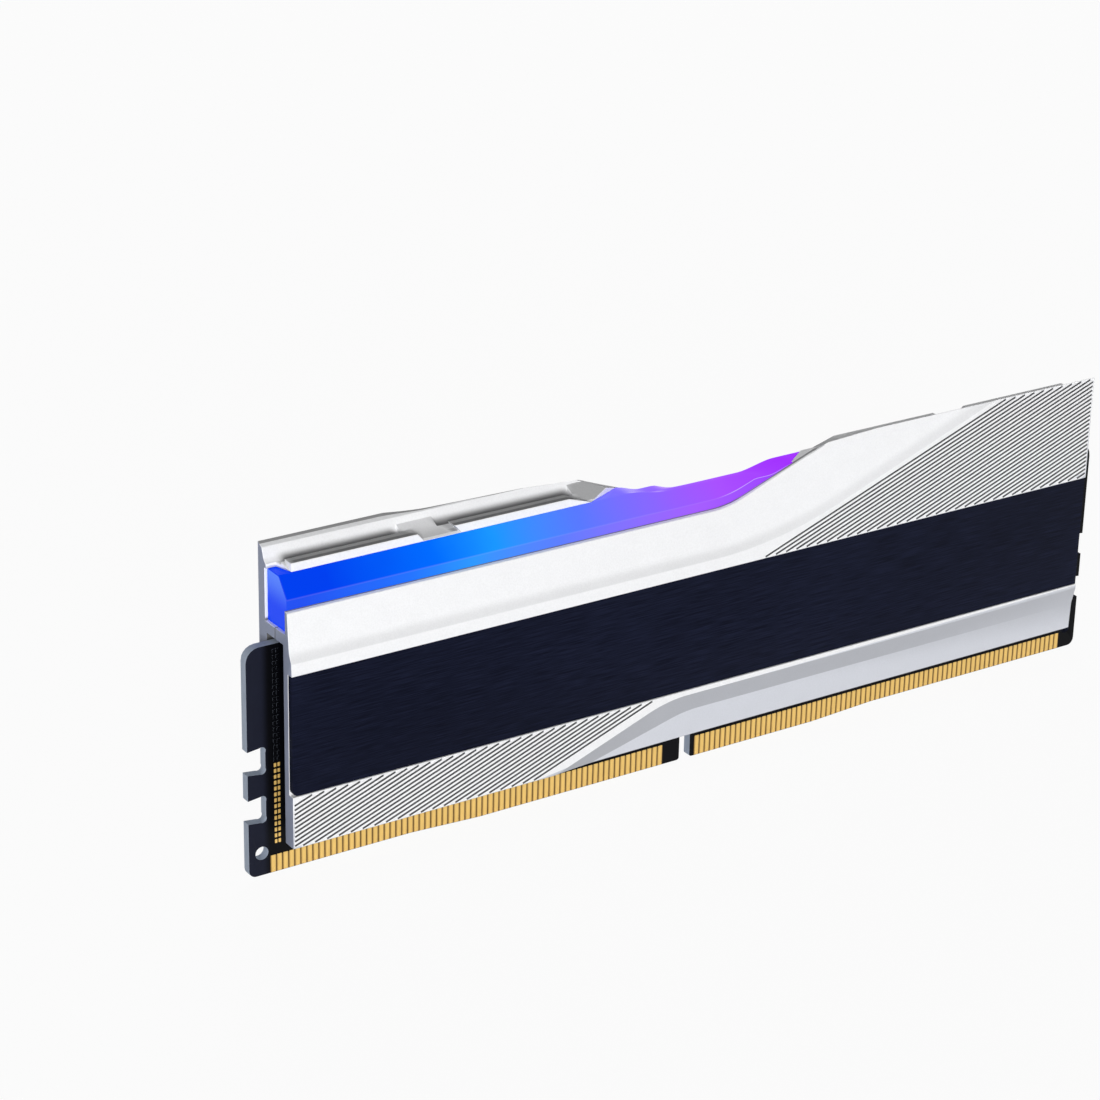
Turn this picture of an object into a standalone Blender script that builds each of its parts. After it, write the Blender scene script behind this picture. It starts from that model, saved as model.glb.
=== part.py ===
"""A desktop memory module: circuit board, chips, two heat spreaders and a light bar.

Metres, +Z up. X runs along the module, -Y is its front, y = 0 is the middle of the board's
thickness and z = 0 is the board's lowest contact edge. x = 0 is the middle of its length.

The two heat spreaders are one shape, turned half round about an upright axis. That shape,
its inlay and the light bar are drawn in a frame whose y = 0 is this axis.
"""

import math

import bmesh
import bpy
import numpy as np

MM = 0.001

# Clearances
BOND_GAP = 0.01 * MM  # between pieces that are soldered or glued face to face
FIT_GAP = 0.05 * MM  # between pieces that are pushed together

# Circuit board
BOARD_LENGTH = 133.35 * MM
BOARD_HEIGHT = 31.25 * MM
BOARD_THICKNESS = 1.27 * MM
BOARD_FOOT_RADIUS = 1.0 * MM
BOARD_HEAD_RADIUS = 1.8 * MM
EDGE_RISE = 0.5 * MM  # the contact edge's ends stand this far above its middle
RISE_LENGTH = 10.2 * MM
LEFT_RISE_X = -33.5 * MM
RIGHT_RISE_X = 19.8 * MM
KEY_LEFT_X = -2.35 * MM
KEY_WIDTH = 1.65 * MM
KEY_DEPTH = 4.6 * MM
KEY_FOOT_RADIUS = 0.4 * MM
KEY_HEAD_RADIUS = 0.6 * MM
LATCH_HEIGHTS = (9.5 * MM, 16.1 * MM)
LATCH_WIDTH = 3.1 * MM
LATCH_DEPTH = 2.25 * MM
LATCH_RELIEF_RADIUS = 0.55 * MM
HOLE_RADIUS = 0.885 * MM
HOLE_FROM_END = 1.8 * MM
HOLE_Z = 3.54 * MM

# Gold contacts
CONTACT_PITCH = 0.85 * MM
CONTACT_WIDTH = 0.6 * MM
CONTACT_TOP_Z = 2.5 * MM
CONTACT_EDGE_MARGIN = 0.08 * MM
CONTACT_THICKNESS = 0.07 * MM
CONTACT_BASE_THICKNESS = 0.03 * MM
LEFT_BANK_COUNT = 69
LEFT_BANK_LAST_X = -5.525 * MM
RIGHT_BANK_COUNT = 75
RIGHT_BANK_FIRST_X = 0.425 * MM

# Memory chips and what is soldered round them
CHIP_WIDTH = 9.0 * MM
CHIP_HEIGHT = 11.0 * MM
CHIP_THICKNESS = 0.95 * MM
CHIP_SPACING = 4.0 * MM
CHIP_CENTRE_Z = 19.5 * MM
CHIPS_PER_SIDE = 4
CHIPS_CENTRE_GAP = 24.0 * MM
BALL_FIELD_MARGIN = 0.7 * MM
BALL_HEIGHT = 0.25 * MM
POWER_CHIP_SIZE = (5.0 * MM, 0.8 * MM, 5.0 * MM)
POWER_CHIP_Z = 23.0 * MM
INDUCTOR_SIZE = (2.5 * MM, 1.0 * MM, 2.0 * MM)
INDUCTOR_SPACING = 4.5 * MM
INDUCTOR_Z = 16.5 * MM
HUB_CHIP_SIZE = (3.0 * MM, 0.6 * MM, 2.0 * MM)
HUB_CHIP_Z = 10.0 * MM
LIGHT_CHIP_SIZE = (3.0 * MM, 0.75 * MM, 3.0 * MM)
LIGHT_CHIP_X = 7.5 * MM
CAPACITOR_SIZE = (1.6 * MM, 0.8 * MM, 0.8 * MM)
CAPACITOR_ABOVE_CHIP = 1.2 * MM
RESISTOR_SIZE = (2.0 * MM, 0.45 * MM, 1.0 * MM)
RESISTOR_BELOW_CHIP = 2.5 * MM
SOLDER_GAP = 0.05 * MM
LAMP_SIZE = (1.6 * MM, 0.7 * MM, 1.2 * MM)
LAMP_COUNT = 10
LAMP_PITCH = 11.6 * MM
LAMP_BELOW_TOP = 0.1 * MM

# Soft pads that carry heat from the chips and the board to the spreaders
CHIP_PAD_THICKNESS = 0.68 * MM
REAR_PAD_THICKNESS = 0.79 * MM
PAD_OVERHANG = 0.6 * MM
REAR_PAD_LENGTH = 118.0 * MM
REAR_PAD_BOTTOM = 8.0 * MM
REAR_PAD_HEIGHT = 20.0 * MM

# Heat spreaders, outside
SPREADER_LENGTH = 125.2 * MM
SPREADER_THICKNESS = 1.95 * MM
SPREADER_BOTTOM = 5.2 * MM
FOOT_HEIGHT = 7.0 * MM  # from the lower edge to the band
BAND_HEIGHT = 16.05 * MM
BAND_DEPTH = 0.94 * MM
BORDER_HEIGHT = 1.65 * MM  # flat strip over the band
SLANT = math.radians(20.0)  # all slanted lines of the spreader
SWOOSH_TURN_X = 9.25 * MM  # where the border turns upwards
SWOOSH_TURN_RADIUS = 57.0 * MM
FLARE_LENGTH = 1.7 * MM
FLARE_DEPTH = 0.45 * MM
SWOOSH_LEAN = 0.08  # depth gained for each length above the border
FACET_DROP = 0.7 * MM  # from the band to the lower facet
FACET_TURN_X = -7.2 * MM
FACET_TURN_RADIUS = 18.0 * MM
FACET_FOLD_DROP = 2.55 * MM
FACET_FOLD_TURN_X = -4.1 * MM
FACET_FOLD_SLANT = math.radians(14.3)
FACET_FOLD_DEPTH = 0.62 * MM
FACET_FOOT_DEPTH = 0.75 * MM
STRIPE_PITCH = 0.572 * MM
STRIPE_WIDTH = 0.27 * MM
STRIPE_DEPTH = 0.14 * MM
STRIPE_MARGIN = 0.22 * MM
SHORTEST_STRIPE = 0.8 * MM
UPPER_STRIPE_BORDER = 0.45 * MM  # plain strip between the stripes and the swoosh
LOWER_STRIPE_BORDER = 1.05 * MM  # the same, by the lower facet

# Heat spreaders, inside and along the top
LEDGE_CLEARANCE = 0.5 * MM  # from the board's top to the ledge
LEDGE_HEIGHT = 1.5 * MM
LEDGE_END_LENGTH = 4.0 * MM
LIP_DROP = 1.2 * MM  # from the light bar's shoulder to the low top edge
TOP_TURN_X = 2.0 * MM  # where the low top edge turns upwards
TOP_TURN_RADIUS = 14.0 * MM
TOP_END_RADIUS = 20.0 * MM
TOP_LEAN = 0.3  # fall of the low top edge, towards the outside
TOP_RISE = 2.9 * MM  # from the shelf's underside to the rim
RIM_WIDTH = 0.95 * MM
RIM_FALL = 0.5 * MM
RIM_WALL_HEIGHT = 0.8 * MM
RIM_WALL_LEAN = 0.3 * MM
SHELF_LIP = 0.35 * MM  # how far the shelf passes the axis
SHELF_LIP_HEIGHT = 0.05 * MM
SHELF_START_X = 11.5 * MM  # at the wall
SHELF_START_SKEW = 6.2 * MM  # how much later it starts at the lip
SHELF_END_INSET = 2.1 * MM  # at the lip
SHELF_END_SKEW = 0.9 * MM  # how much further it reaches at the wall
RAIL_WIDTH = 1.6 * MM
RAIL_HEIGHT = 1.1 * MM
RAIL_SLANT_RUN = 1.0 * MM
OUTER_RAIL_START_X = 43.0 * MM
INNER_RAIL_END_X = 37.8 * MM
INNER_RAIL_START_X = 21.0 * MM
INNER_RAIL_TAPER = 3.5 * MM
TROUGH_FLOOR = 0.5 * MM  # floor above the shelf's underside
TROUGH_CURVE = 0.8  # share of a trough's width that curves up to the rim's wall
OUTER_TROUGH_START_X = 44.3 * MM
INNER_TROUGH_END_X = 39.3 * MM
INNER_TROUGH_START_X = 19.5 * MM

# Inlay of the band and its glue
INLAY_THICKNESS = 0.26 * MM
INLAY_GLUE_THICKNESS = 0.06 * MM
INLAY_CORNER_RADIUS = 0.8 * MM
INLAY_GLUE_MARGIN = 1.0 * MM

# Light bar
LIGHT_HALF_WIDTH = 2.35 * MM
LIGHT_END_INSET = 0.05 * MM
LIGHT_WALL_HEIGHT = 4.25 * MM
LIGHT_CROWN_HEIGHT = 2.5 * MM
LIGHT_CROWN_HALF = 0.45 * MM
LIGHT_DIP = 0.9 * MM
LONG_DIP_RUN = (5.5 * MM, 11.3 * MM)  # from the middle to where the crown is full height again
SHORT_DIP_RUN = (8.5 * MM, 12.5 * MM)  # the same towards the shoulder's own tall end
TONGUE_HALF_WIDTH = 0.5 * MM
TONGUE_REACH = 1.3 * MM
TONGUE_END_INSET = 6.0 * MM

# Finishes: colour, roughness, metallic
SILVER = (0.80, 0.81, 0.83), 0.45, 0.85
BLACK_ALUMINIUM = (0.012, 0.014, 0.026), 0.35, 0.6
GOLD = (0.72, 0.50, 0.16), 0.3, 1.0
BOARD_BLACK = (0.014, 0.016, 0.03), 0.4, 0.0
CHIP_BLACK = (0.02, 0.02, 0.022), 0.6, 0.0
INDUCTOR_GREY = (0.09, 0.09, 0.095), 0.5, 0.2
CERAMIC_BROWN = (0.33, 0.22, 0.13), 0.5, 0.0
LAMP_WHITE = (0.85, 0.85, 0.8), 0.4, 0.0
PAD_GREY = (0.35, 0.37, 0.42), 0.8, 0.0
GLUE_CLEAR = (0.6, 0.6, 0.58), 0.5, 0.0
LIGHT_BLUE = (0.03, 0.16, 0.9), 0.3, 0.0

# Places worked out from the sizes above
BOARD_END = BOARD_LENGTH / 2
BOARD_FACE = BOARD_THICKNESS / 2
CHIP_SEAT = BOARD_FACE + BOND_GAP
CHIP_TOP = CHIP_SEAT + BALL_HEIGHT + CHIP_THICKNESS
FRONT_INNER = CHIP_TOP + CHIP_PAD_THICKNESS + 2 * BOND_GAP
REAR_INNER = BOARD_FACE + REAR_PAD_THICKNESS + 2 * BOND_GAP
AXIS_Y = (REAR_INNER - FRONT_INNER) / 2
INNER_FACE = -(REAR_INNER + FRONT_INNER) / 2
OUTER_FACE = INNER_FACE - SPREADER_THICKNESS
SPREADER_END = SPREADER_LENGTH / 2
BAND_BOTTOM = SPREADER_BOTTOM + FOOT_HEIGHT
BAND_TOP = BAND_BOTTOM + BAND_HEIGHT
SWOOSH_Z = BAND_TOP + BORDER_HEIGHT
FACET_Z = BAND_BOTTOM - FACET_DROP
LEDGE_BOTTOM = BOARD_HEIGHT + LEDGE_CLEARANCE
LEDGE_TOP = LEDGE_BOTTOM + LEDGE_HEIGHT
LIGHT_BOTTOM = LEDGE_TOP + FIT_GAP
LIGHT_SHOULDER = LIGHT_BOTTOM + LIGHT_WALL_HEIGHT
LIGHT_TOP = LIGHT_SHOULDER + LIGHT_CROWN_HEIGHT
LIGHT_END = SPREADER_END - LIGHT_END_INSET
POCKET_FACE = -(LIGHT_HALF_WIDTH + FIT_GAP)
LEDGE_FACE = -(TONGUE_HALF_WIDTH + FIT_GAP)
SHELF_BOTTOM = LIGHT_TOP + FIT_GAP
SPREADER_TOP = SHELF_BOTTOM + TOP_RISE
LOW_TOP = LIGHT_SHOULDER - LIP_DROP
SHELF_END = SPREADER_END - SHELF_END_INSET
BEYOND = 3.0 * MM  # how far cutters reach past what they cut
PROUD = 0.02 * MM  # the same, for a cutter whose edge on the face must stay smooth


def clear_scene():
    for obj in list(bpy.data.objects):
        bpy.data.objects.remove(obj)


def rounded(points, radii, steps=6, closed=True):
    """The polyline with each corner replaced by an arc of its radius, tangent to both sides."""
    points = np.asarray(points, float)
    result = []
    for i, (corner, radius) in enumerate(zip(points, radii)):
        if radius == 0 or (not closed and i in (0, len(points) - 1)):
            result.append(corner)
            continue
        before = points[i - 1] - corner
        after = points[(i + 1) % len(points)] - corner
        before /= np.linalg.norm(before)
        after /= np.linalg.norm(after)
        half = math.acos(np.clip(before @ after, -1, 1)) / 2
        centre = corner + (before + after) / np.linalg.norm(before + after) * radius / math.sin(half)
        reach = radius / math.tan(half)
        first = corner + before * reach - centre
        last = corner + after * reach - centre
        span = math.pi - 2 * half
        for t in np.linspace(0, 1, steps + 1):
            mix = math.sin((1 - t) * span) * first + math.sin(t * span) * last
            result.append(centre + mix / math.sin(span))
    return np.array(result)


def new_object(name, bm):
    bmesh.ops.recalc_face_normals(bm, faces=bm.faces)
    mesh = bpy.data.meshes.new(name)
    bm.to_mesh(mesh)
    bm.free()
    obj = bpy.data.objects.new(name, mesh)
    bpy.context.scene.collection.objects.link(obj)
    return obj


def loft(name, rings):
    """A closed solid through rings of like point counts, with flat ends."""
    bm = bmesh.new()
    loops = [[bm.verts.new(point) for point in ring] for ring in rings]
    for here, there in zip(loops, loops[1:]):
        for i in range(len(here)):
            bm.faces.new((here[i - 1], here[i], there[i], there[i - 1]))
    bm.faces.new(loops[0])
    bm.faces.new(loops[-1])
    return new_object(name, bm)


def plate_along_y(name, outline, y_start, y_end):
    """An outline of (x, z) points carried along Y."""
    return loft(name, [[(x, y, z) for x, z in outline] for y in (y_start, y_end)])


def bar_along_x(name, outline, x_start, x_end):
    """An outline of (y, z) points carried along X."""
    return loft(name, [[(x, y, z) for y, z in outline] for x in (x_start, x_end)])


def box(name, low, high):
    outline = [(low[1], low[2]), (high[1], low[2]), (high[1], high[2]), (low[1], high[2])]
    return bar_along_x(name, outline, low[0], high[0])


def boolean(target, tool, operation):
    modifier = target.modifiers.new(tool.name, "BOOLEAN")
    modifier.operation = operation
    modifier.solver = "EXACT"
    modifier.object = tool
    tool.hide_render = True
    tool.display_type = "WIRE"


def cut(target, tool):
    boolean(target, tool, "DIFFERENCE")


def join(target, tool):
    boolean(target, tool, "UNION")


def finish(obj, finish_name, look):
    """Gives the object a material named for its finish, made once."""
    colour, roughness, metallic = look
    material = bpy.data.materials.get(finish_name)
    if material is None:
        material = bpy.data.materials.new(finish_name)
        material.use_nodes = True
        shader = material.node_tree.nodes["Principled BSDF"]
        shader.inputs["Base Color"].default_value = (*colour, 1.0)
        shader.inputs["Roughness"].default_value = roughness
        shader.inputs["Metallic"].default_value = metallic
    obj.data.materials.clear()
    obj.data.materials.append(material)
    return obj


def contact_edge(x):
    """Height of the board's lower edge: low in the middle, with a ramp to each raised end."""
    left = (LEFT_RISE_X - x) / RISE_LENGTH
    right = (x - RIGHT_RISE_X) / RISE_LENGTH
    return EDGE_RISE * np.clip(np.maximum(left, right), 0, 1)


def latch_notch(middle):
    """The right end's notch at this height, from its lower to its upper mouth corner."""
    inner = BOARD_END - LATCH_DEPTH
    offset = LATCH_RELIEF_RADIUS / 2
    turns = np.radians(np.linspace(-60, -210, 8))
    relief_x = inner + offset + LATCH_RELIEF_RADIUS * np.cos(turns)
    relief_z = middle - LATCH_WIDTH / 2 + offset + LATCH_RELIEF_RADIUS * np.sin(turns)
    lower = [(BOARD_END, middle - LATCH_WIDTH / 2), *zip(relief_x, relief_z)]
    return lower + [(x, 2 * middle - z) for x, z in reversed(lower)]


def board_outline():
    """The board's (x, z) outline, counter-clockwise seen from the front."""
    key_right = KEY_LEFT_X + KEY_WIDTH
    foot = [
        (-BOARD_END, EDGE_RISE, BOARD_FOOT_RADIUS),
        (LEFT_RISE_X - RISE_LENGTH, EDGE_RISE, 0),
        (LEFT_RISE_X, 0, 0),
        (KEY_LEFT_X, 0, KEY_FOOT_RADIUS),
        (KEY_LEFT_X, KEY_DEPTH, KEY_HEAD_RADIUS),
        (key_right, KEY_DEPTH, KEY_HEAD_RADIUS),
        (key_right, 0, KEY_FOOT_RADIUS),
        (RIGHT_RISE_X, 0, 0),
        (RIGHT_RISE_X + RISE_LENGTH, EDGE_RISE, 0),
        (BOARD_END, EDGE_RISE, BOARD_FOOT_RADIUS),
    ]
    notches = [point for middle in LATCH_HEIGHTS for point in latch_notch(middle)]
    right = [(x, z, 0) for x, z in notches]
    head = [(BOARD_END, BOARD_HEIGHT, BOARD_HEAD_RADIUS), (-BOARD_END, BOARD_HEIGHT, BOARD_HEAD_RADIUS)]
    left = [(-x, z, 0) for x, z in reversed(notches)]
    corners = np.array(foot + right + head + left)
    return rounded(corners[:, :2], corners[:, 2], steps=5)


def make_board():
    board = plate_along_y("circuit_board", board_outline(), -BOARD_FACE, BOARD_FACE)
    turns = np.radians(np.arange(0, 360, 18))
    for side in (-1, 1):
        x = side * (BOARD_END - HOLE_FROM_END)
        ring = [(x + HOLE_RADIUS * math.cos(a), HOLE_Z + HOLE_RADIUS * math.sin(a)) for a in turns]
        drill = plate_along_y(f"hole_drill_{side}", ring, -BOARD_FACE - BEYOND, BOARD_FACE + BEYOND)
        cut(board, drill)
    finish(board, "board_black", BOARD_BLACK)


def make_contact_bank(name, centres, side):
    """One bank of fingers standing on a thin common base, on the front (-1) or rear (1) face."""
    half = CONTACT_WIDTH / 2
    columns = np.ravel([(x - half, x + half) for x in centres])
    feet = contact_edge(columns) + CONTACT_EDGE_MARGIN
    back = side * (BOARD_FACE + BOND_GAP)
    base = back + side * CONTACT_BASE_THICKNESS
    face = back + side * CONTACT_THICKNESS
    bm = bmesh.new()

    def rows(y):
        low = [bm.verts.new((x, y, z)) for x, z in zip(columns, feet)]
        high = [bm.verts.new((x, y, CONTACT_TOP_Z)) for x in columns]
        return low, high

    backs, bases, faces = rows(back), rows(base), rows(face)
    last = len(columns) - 1
    for i in range(last):
        front = faces if i % 2 == 0 else bases
        bm.faces.new((backs[0][i], backs[0][i + 1], backs[1][i + 1], backs[1][i]))
        bm.faces.new((front[0][i], front[0][i + 1], front[1][i + 1], front[1][i]))
        for row in (0, 1):
            bm.faces.new((backs[row][i], backs[row][i + 1], bases[row][i + 1], bases[row][i]))
            if i % 2 == 0:
                bm.faces.new((bases[row][i], bases[row][i + 1], faces[row][i + 1], faces[row][i]))
    for i in range(last + 1):
        bm.faces.new((bases[0][i], bases[1][i], faces[1][i], faces[0][i]))
        if i in (0, last):
            bm.faces.new((backs[0][i], backs[1][i], bases[1][i], bases[0][i]))
    finish(new_object(name, bm), "contact_gold", GOLD)


def make_contacts():
    left = LEFT_BANK_LAST_X - CONTACT_PITCH * np.arange(LEFT_BANK_COUNT)[::-1]
    right = RIGHT_BANK_FIRST_X + CONTACT_PITCH * np.arange(RIGHT_BANK_COUNT)
    for face, side in (("front", -1), ("rear", 1)):
        make_contact_bank(f"contacts_{face}_left", left, side)
        make_contact_bank(f"contacts_{face}_right", right, side)


def front_block(name, x, z, size, seat):
    """A block centred on (x, z) that stands on the board's front face, seat away from y = 0."""
    width, thickness, height = size
    low = (x - width / 2, -seat - thickness, z - height / 2)
    high = (x + width / 2, -seat, z + height / 2)
    return box(name, low, high)


def chip_centres():
    pitch = CHIP_WIDTH + CHIP_SPACING
    right = CHIPS_CENTRE_GAP / 2 + CHIP_WIDTH / 2 + pitch * np.arange(CHIPS_PER_SIDE)
    return np.concatenate([-right[::-1], right])


def make_memory_chips():
    """Each chip is a moulded block on a smaller field of solder balls."""
    for number, x in enumerate(chip_centres(), start=1):
        half_width = CHIP_WIDTH / 2
        half_height = CHIP_HEIGHT / 2
        rings = []
        for y, margin in (
            (-CHIP_SEAT, BALL_FIELD_MARGIN),
            (-CHIP_SEAT - BALL_HEIGHT, BALL_FIELD_MARGIN),
            (-CHIP_SEAT - BALL_HEIGHT, 0),
            (-CHIP_TOP, 0),
        ):
            across = half_width - margin
            up = half_height - margin
            corners = ((-across, -up), (across, -up), (across, up), (-across, up))
            rings.append([(x + dx, y, CHIP_CENTRE_Z + dz) for dx, dz in corners])
        finish(loft(f"memory_chip_{number}", rings), "chip_black", CHIP_BLACK)


def make_small_parts():
    seat = BOARD_FACE + SOLDER_GAP
    power = front_block("power_chip", 0, POWER_CHIP_Z, POWER_CHIP_SIZE, seat)
    finish(power, "chip_black", CHIP_BLACK)
    hub = front_block("serial_hub_chip", 0, HUB_CHIP_Z, HUB_CHIP_SIZE, seat)
    finish(hub, "chip_black", CHIP_BLACK)
    light = front_block("light_control_chip", LIGHT_CHIP_X, POWER_CHIP_Z, LIGHT_CHIP_SIZE, seat)
    finish(light, "chip_black", CHIP_BLACK)
    for number in (1, 2, 3):
        x = (number - 2) * INDUCTOR_SPACING
        inductor = front_block(f"inductor_{number}", x, INDUCTOR_Z, INDUCTOR_SIZE, seat)
        finish(inductor, "inductor_grey", INDUCTOR_GREY)
    capacitor_z = CHIP_CENTRE_Z + CHIP_HEIGHT / 2 + CAPACITOR_ABOVE_CHIP
    resistor_z = CHIP_CENTRE_Z - CHIP_HEIGHT / 2 - RESISTOR_BELOW_CHIP
    for number, x in enumerate(chip_centres(), start=1):
        capacitor = front_block(f"capacitor_{number}", x, capacitor_z, CAPACITOR_SIZE, seat)
        finish(capacitor, "ceramic_brown", CERAMIC_BROWN)
        if number % 2 == 0:
            resistor = front_block(f"resistor_pack_{number // 2}", x, resistor_z, RESISTOR_SIZE, seat)
            finish(resistor, "chip_black", CHIP_BLACK)
    lamp_z = BOARD_HEIGHT - LAMP_BELOW_TOP - LAMP_SIZE[2] / 2
    for number in range(1, LAMP_COUNT + 1):
        x = (number - (LAMP_COUNT + 1) / 2) * LAMP_PITCH
        lamp = front_block(f"lamp_{number}", x, lamp_z, LAMP_SIZE, seat)
        finish(lamp, "lamp_white", LAMP_WHITE)


def make_pads():
    """Soft sheets between the chips and the front spreader, and behind the board."""
    centres = chip_centres()
    reach = CHIP_WIDTH / 2 + PAD_OVERHANG
    up = CHIP_HEIGHT / 2 + PAD_OVERHANG
    top = CHIP_TOP + BOND_GAP
    sides = {"left": centres[:CHIPS_PER_SIDE], "right": centres[CHIPS_PER_SIDE:]}
    for side, chips in sides.items():
        low = (chips.min() - reach, -top - CHIP_PAD_THICKNESS, CHIP_CENTRE_Z - up)
        high = (chips.max() + reach, -top, CHIP_CENTRE_Z + up)
        finish(box(f"chip_pad_{side}", low, high), "pad_grey", PAD_GREY)
    power_top = BOARD_FACE + SOLDER_GAP + POWER_CHIP_SIZE[1] + BOND_GAP
    low = (-POWER_CHIP_SIZE[0] / 2, -FRONT_INNER + BOND_GAP, POWER_CHIP_Z - POWER_CHIP_SIZE[2] / 2)
    high = (POWER_CHIP_SIZE[0] / 2, -power_top, POWER_CHIP_Z + POWER_CHIP_SIZE[2] / 2)
    finish(box("power_chip_pad", low, high), "pad_grey", PAD_GREY)
    low = (-REAR_PAD_LENGTH / 2, BOARD_FACE + BOND_GAP, REAR_PAD_BOTTOM)
    high = (REAR_PAD_LENGTH / 2, REAR_INNER - BOND_GAP, REAR_PAD_BOTTOM + REAR_PAD_HEIGHT)
    finish(box("rear_pad", low, high), "pad_grey", PAD_GREY)


def top_path():
    """The spreader's (x, z) top edge: low, then up the slant, then level at the rim."""
    rim = SPREADER_TOP + FIT_GAP
    run = (rim - LOW_TOP) / math.tan(SLANT)
    end = SPREADER_END + BEYOND
    corners = [(-end, LOW_TOP), (TOP_TURN_X, LOW_TOP), (TOP_TURN_X + run, rim), (end, rim)]
    return rounded(corners, [0, TOP_TURN_RADIUS, TOP_END_RADIUS, 0], steps=5, closed=False)


def top_cutter():
    """What lies above the top edge, which leans outwards where it is low and is level at the rim."""
    path = top_path()
    lean = TOP_LEAN * (path[-1, 1] - path[:, 1]) / (path[-1, 1] - path[0, 1])
    high = SPREADER_TOP + 3 * BEYOND
    rings = []
    for y in (OUTER_FACE - BEYOND, POCKET_FACE, BEYOND):
        edge = path[:, 1] - lean * max(POCKET_FACE - y, 0)
        ring = [(x, y, z) for x, z in zip(path[:, 0], edge)]
        rings.append(ring + [(path[-1, 0], y, high), (path[0, 0], y, high)])
    return loft("top_cutter", rings)


def slanted_path(turn_x, level, radius, turns_up, slant):
    """An (x, z) line that is level on one side of turn_x and slants away on the other."""
    reach = 2 * SPREADER_LENGTH
    side = 1 if turns_up else -1
    far = (turn_x + side * reach, level + side * reach * math.tan(slant))
    corners = [(turn_x - side * reach, level), (turn_x, level), far]
    path = rounded(corners, [0, radius, 0], steps=8, closed=False)
    return path if turns_up else path[::-1]


def swoosh_cutter():
    """What is hollowed out above the border: a flare, then a leaning face, along the border."""
    path = slanted_path(SWOOSH_TURN_X, SWOOSH_Z, SWOOSH_TURN_RADIUS, True, SLANT)
    along = np.gradient(path, axis=0)
    along /= np.linalg.norm(along, axis=1)[:, None]
    normals = np.stack([-along[:, 1], along[:, 0]], axis=1)
    start_lean = FLARE_DEPTH * math.pi / 2 / FLARE_LENGTH + SWOOSH_LEAN
    reach = SPREADER_TOP - SWOOSH_Z + BEYOND
    away = np.append(np.linspace(0, FLARE_LENGTH, 7)[1:], reach)
    curve = FLARE_DEPTH * np.sin(np.minimum(away / FLARE_LENGTH, 1) * math.pi / 2)
    out = OUTER_FACE - PROUD
    profile = [(-PROUD / start_lean, out)]
    profile += list(zip(away, OUTER_FACE + curve + SWOOSH_LEAN * away))
    profile.append((reach, out))
    rings = []
    for (x, z), (nx, nz) in zip(path, normals):
        rings.append([(x + nx * s, y, z + nz * s) for s, y in profile])
    return loft("swoosh_cutter", rings)


def facet_cutter():
    """What is taken off below the band's right part: a fold line between two leaning faces."""
    edge = slanted_path(FACET_TURN_X, FACET_Z, FACET_TURN_RADIUS, False, SLANT)
    fold_level = FACET_Z - FACET_FOLD_DROP
    fold = slanted_path(FACET_FOLD_TURN_X, fold_level, FACET_TURN_RADIUS, False, FACET_FOLD_SLANT)
    start = FACET_TURN_X - (FACET_Z - SPREADER_BOTTOM + PROUD) / math.tan(SLANT)
    end = SPREADER_END + BEYOND
    turns = np.union1d(edge[1:-1, 0], fold[1:-1, 0])
    stations = [*np.linspace(start, turns[0], 8)[:-1], *turns, end]
    fold_y = OUTER_FACE + FACET_FOLD_DEPTH
    foot_y = OUTER_FACE + FACET_FOOT_DEPTH
    out = OUTER_FACE - PROUD
    foot_lean = (foot_y - fold_y) / (fold_level - SPREADER_BOTTOM)
    rings = []
    for x in stations:
        edge_z = np.interp(x, edge[:, 0], edge[:, 1])
        fold_z = np.interp(x, fold[:, 0], fold[:, 1])
        out_z = edge_z + (edge_z - fold_z) * (OUTER_FACE - out) / FACET_FOLD_DEPTH
        base_z = min(fold_z, SPREADER_BOTTOM) - BEYOND
        base_y = fold_y + foot_lean * (fold_z - base_z)
        ring = [(out, out_z), (fold_y, fold_z), (base_y, base_z), (out, base_z)]
        rings.append([(x, y, z) for y, z in ring])
    return loft("facet_cutter", rings)


def stripe_lines(low, high, left, right, edge, above):
    """Ends of the slanted stripes that fit a box of (x, z), above or below the line through edge."""
    direction = np.array([math.cos(SLANT), math.sin(SLANT)])
    across = np.array([-math.sin(SLANT), math.cos(SLANT)])
    corners = np.array([(left, low), (left, high), (right, low), (right, high)]) - edge
    reach = (corners @ across).max() if above else -(corners @ across).min()
    for number in range(int(reach / STRIPE_PITCH) + 1):
        offset = (number + 0.5) * STRIPE_PITCH * (1 if above else -1)
        point = edge + across * offset
        to_x = (np.array([left, right]) - point[0]) / direction[0]
        to_z = (np.array([low, high]) - point[1]) / direction[1]
        start = max(to_x[0], to_z[0])
        end = min(to_x[1], to_z[1])
        if end - start > SHORTEST_STRIPE:
            yield point + direction * start, point + direction * end


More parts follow.
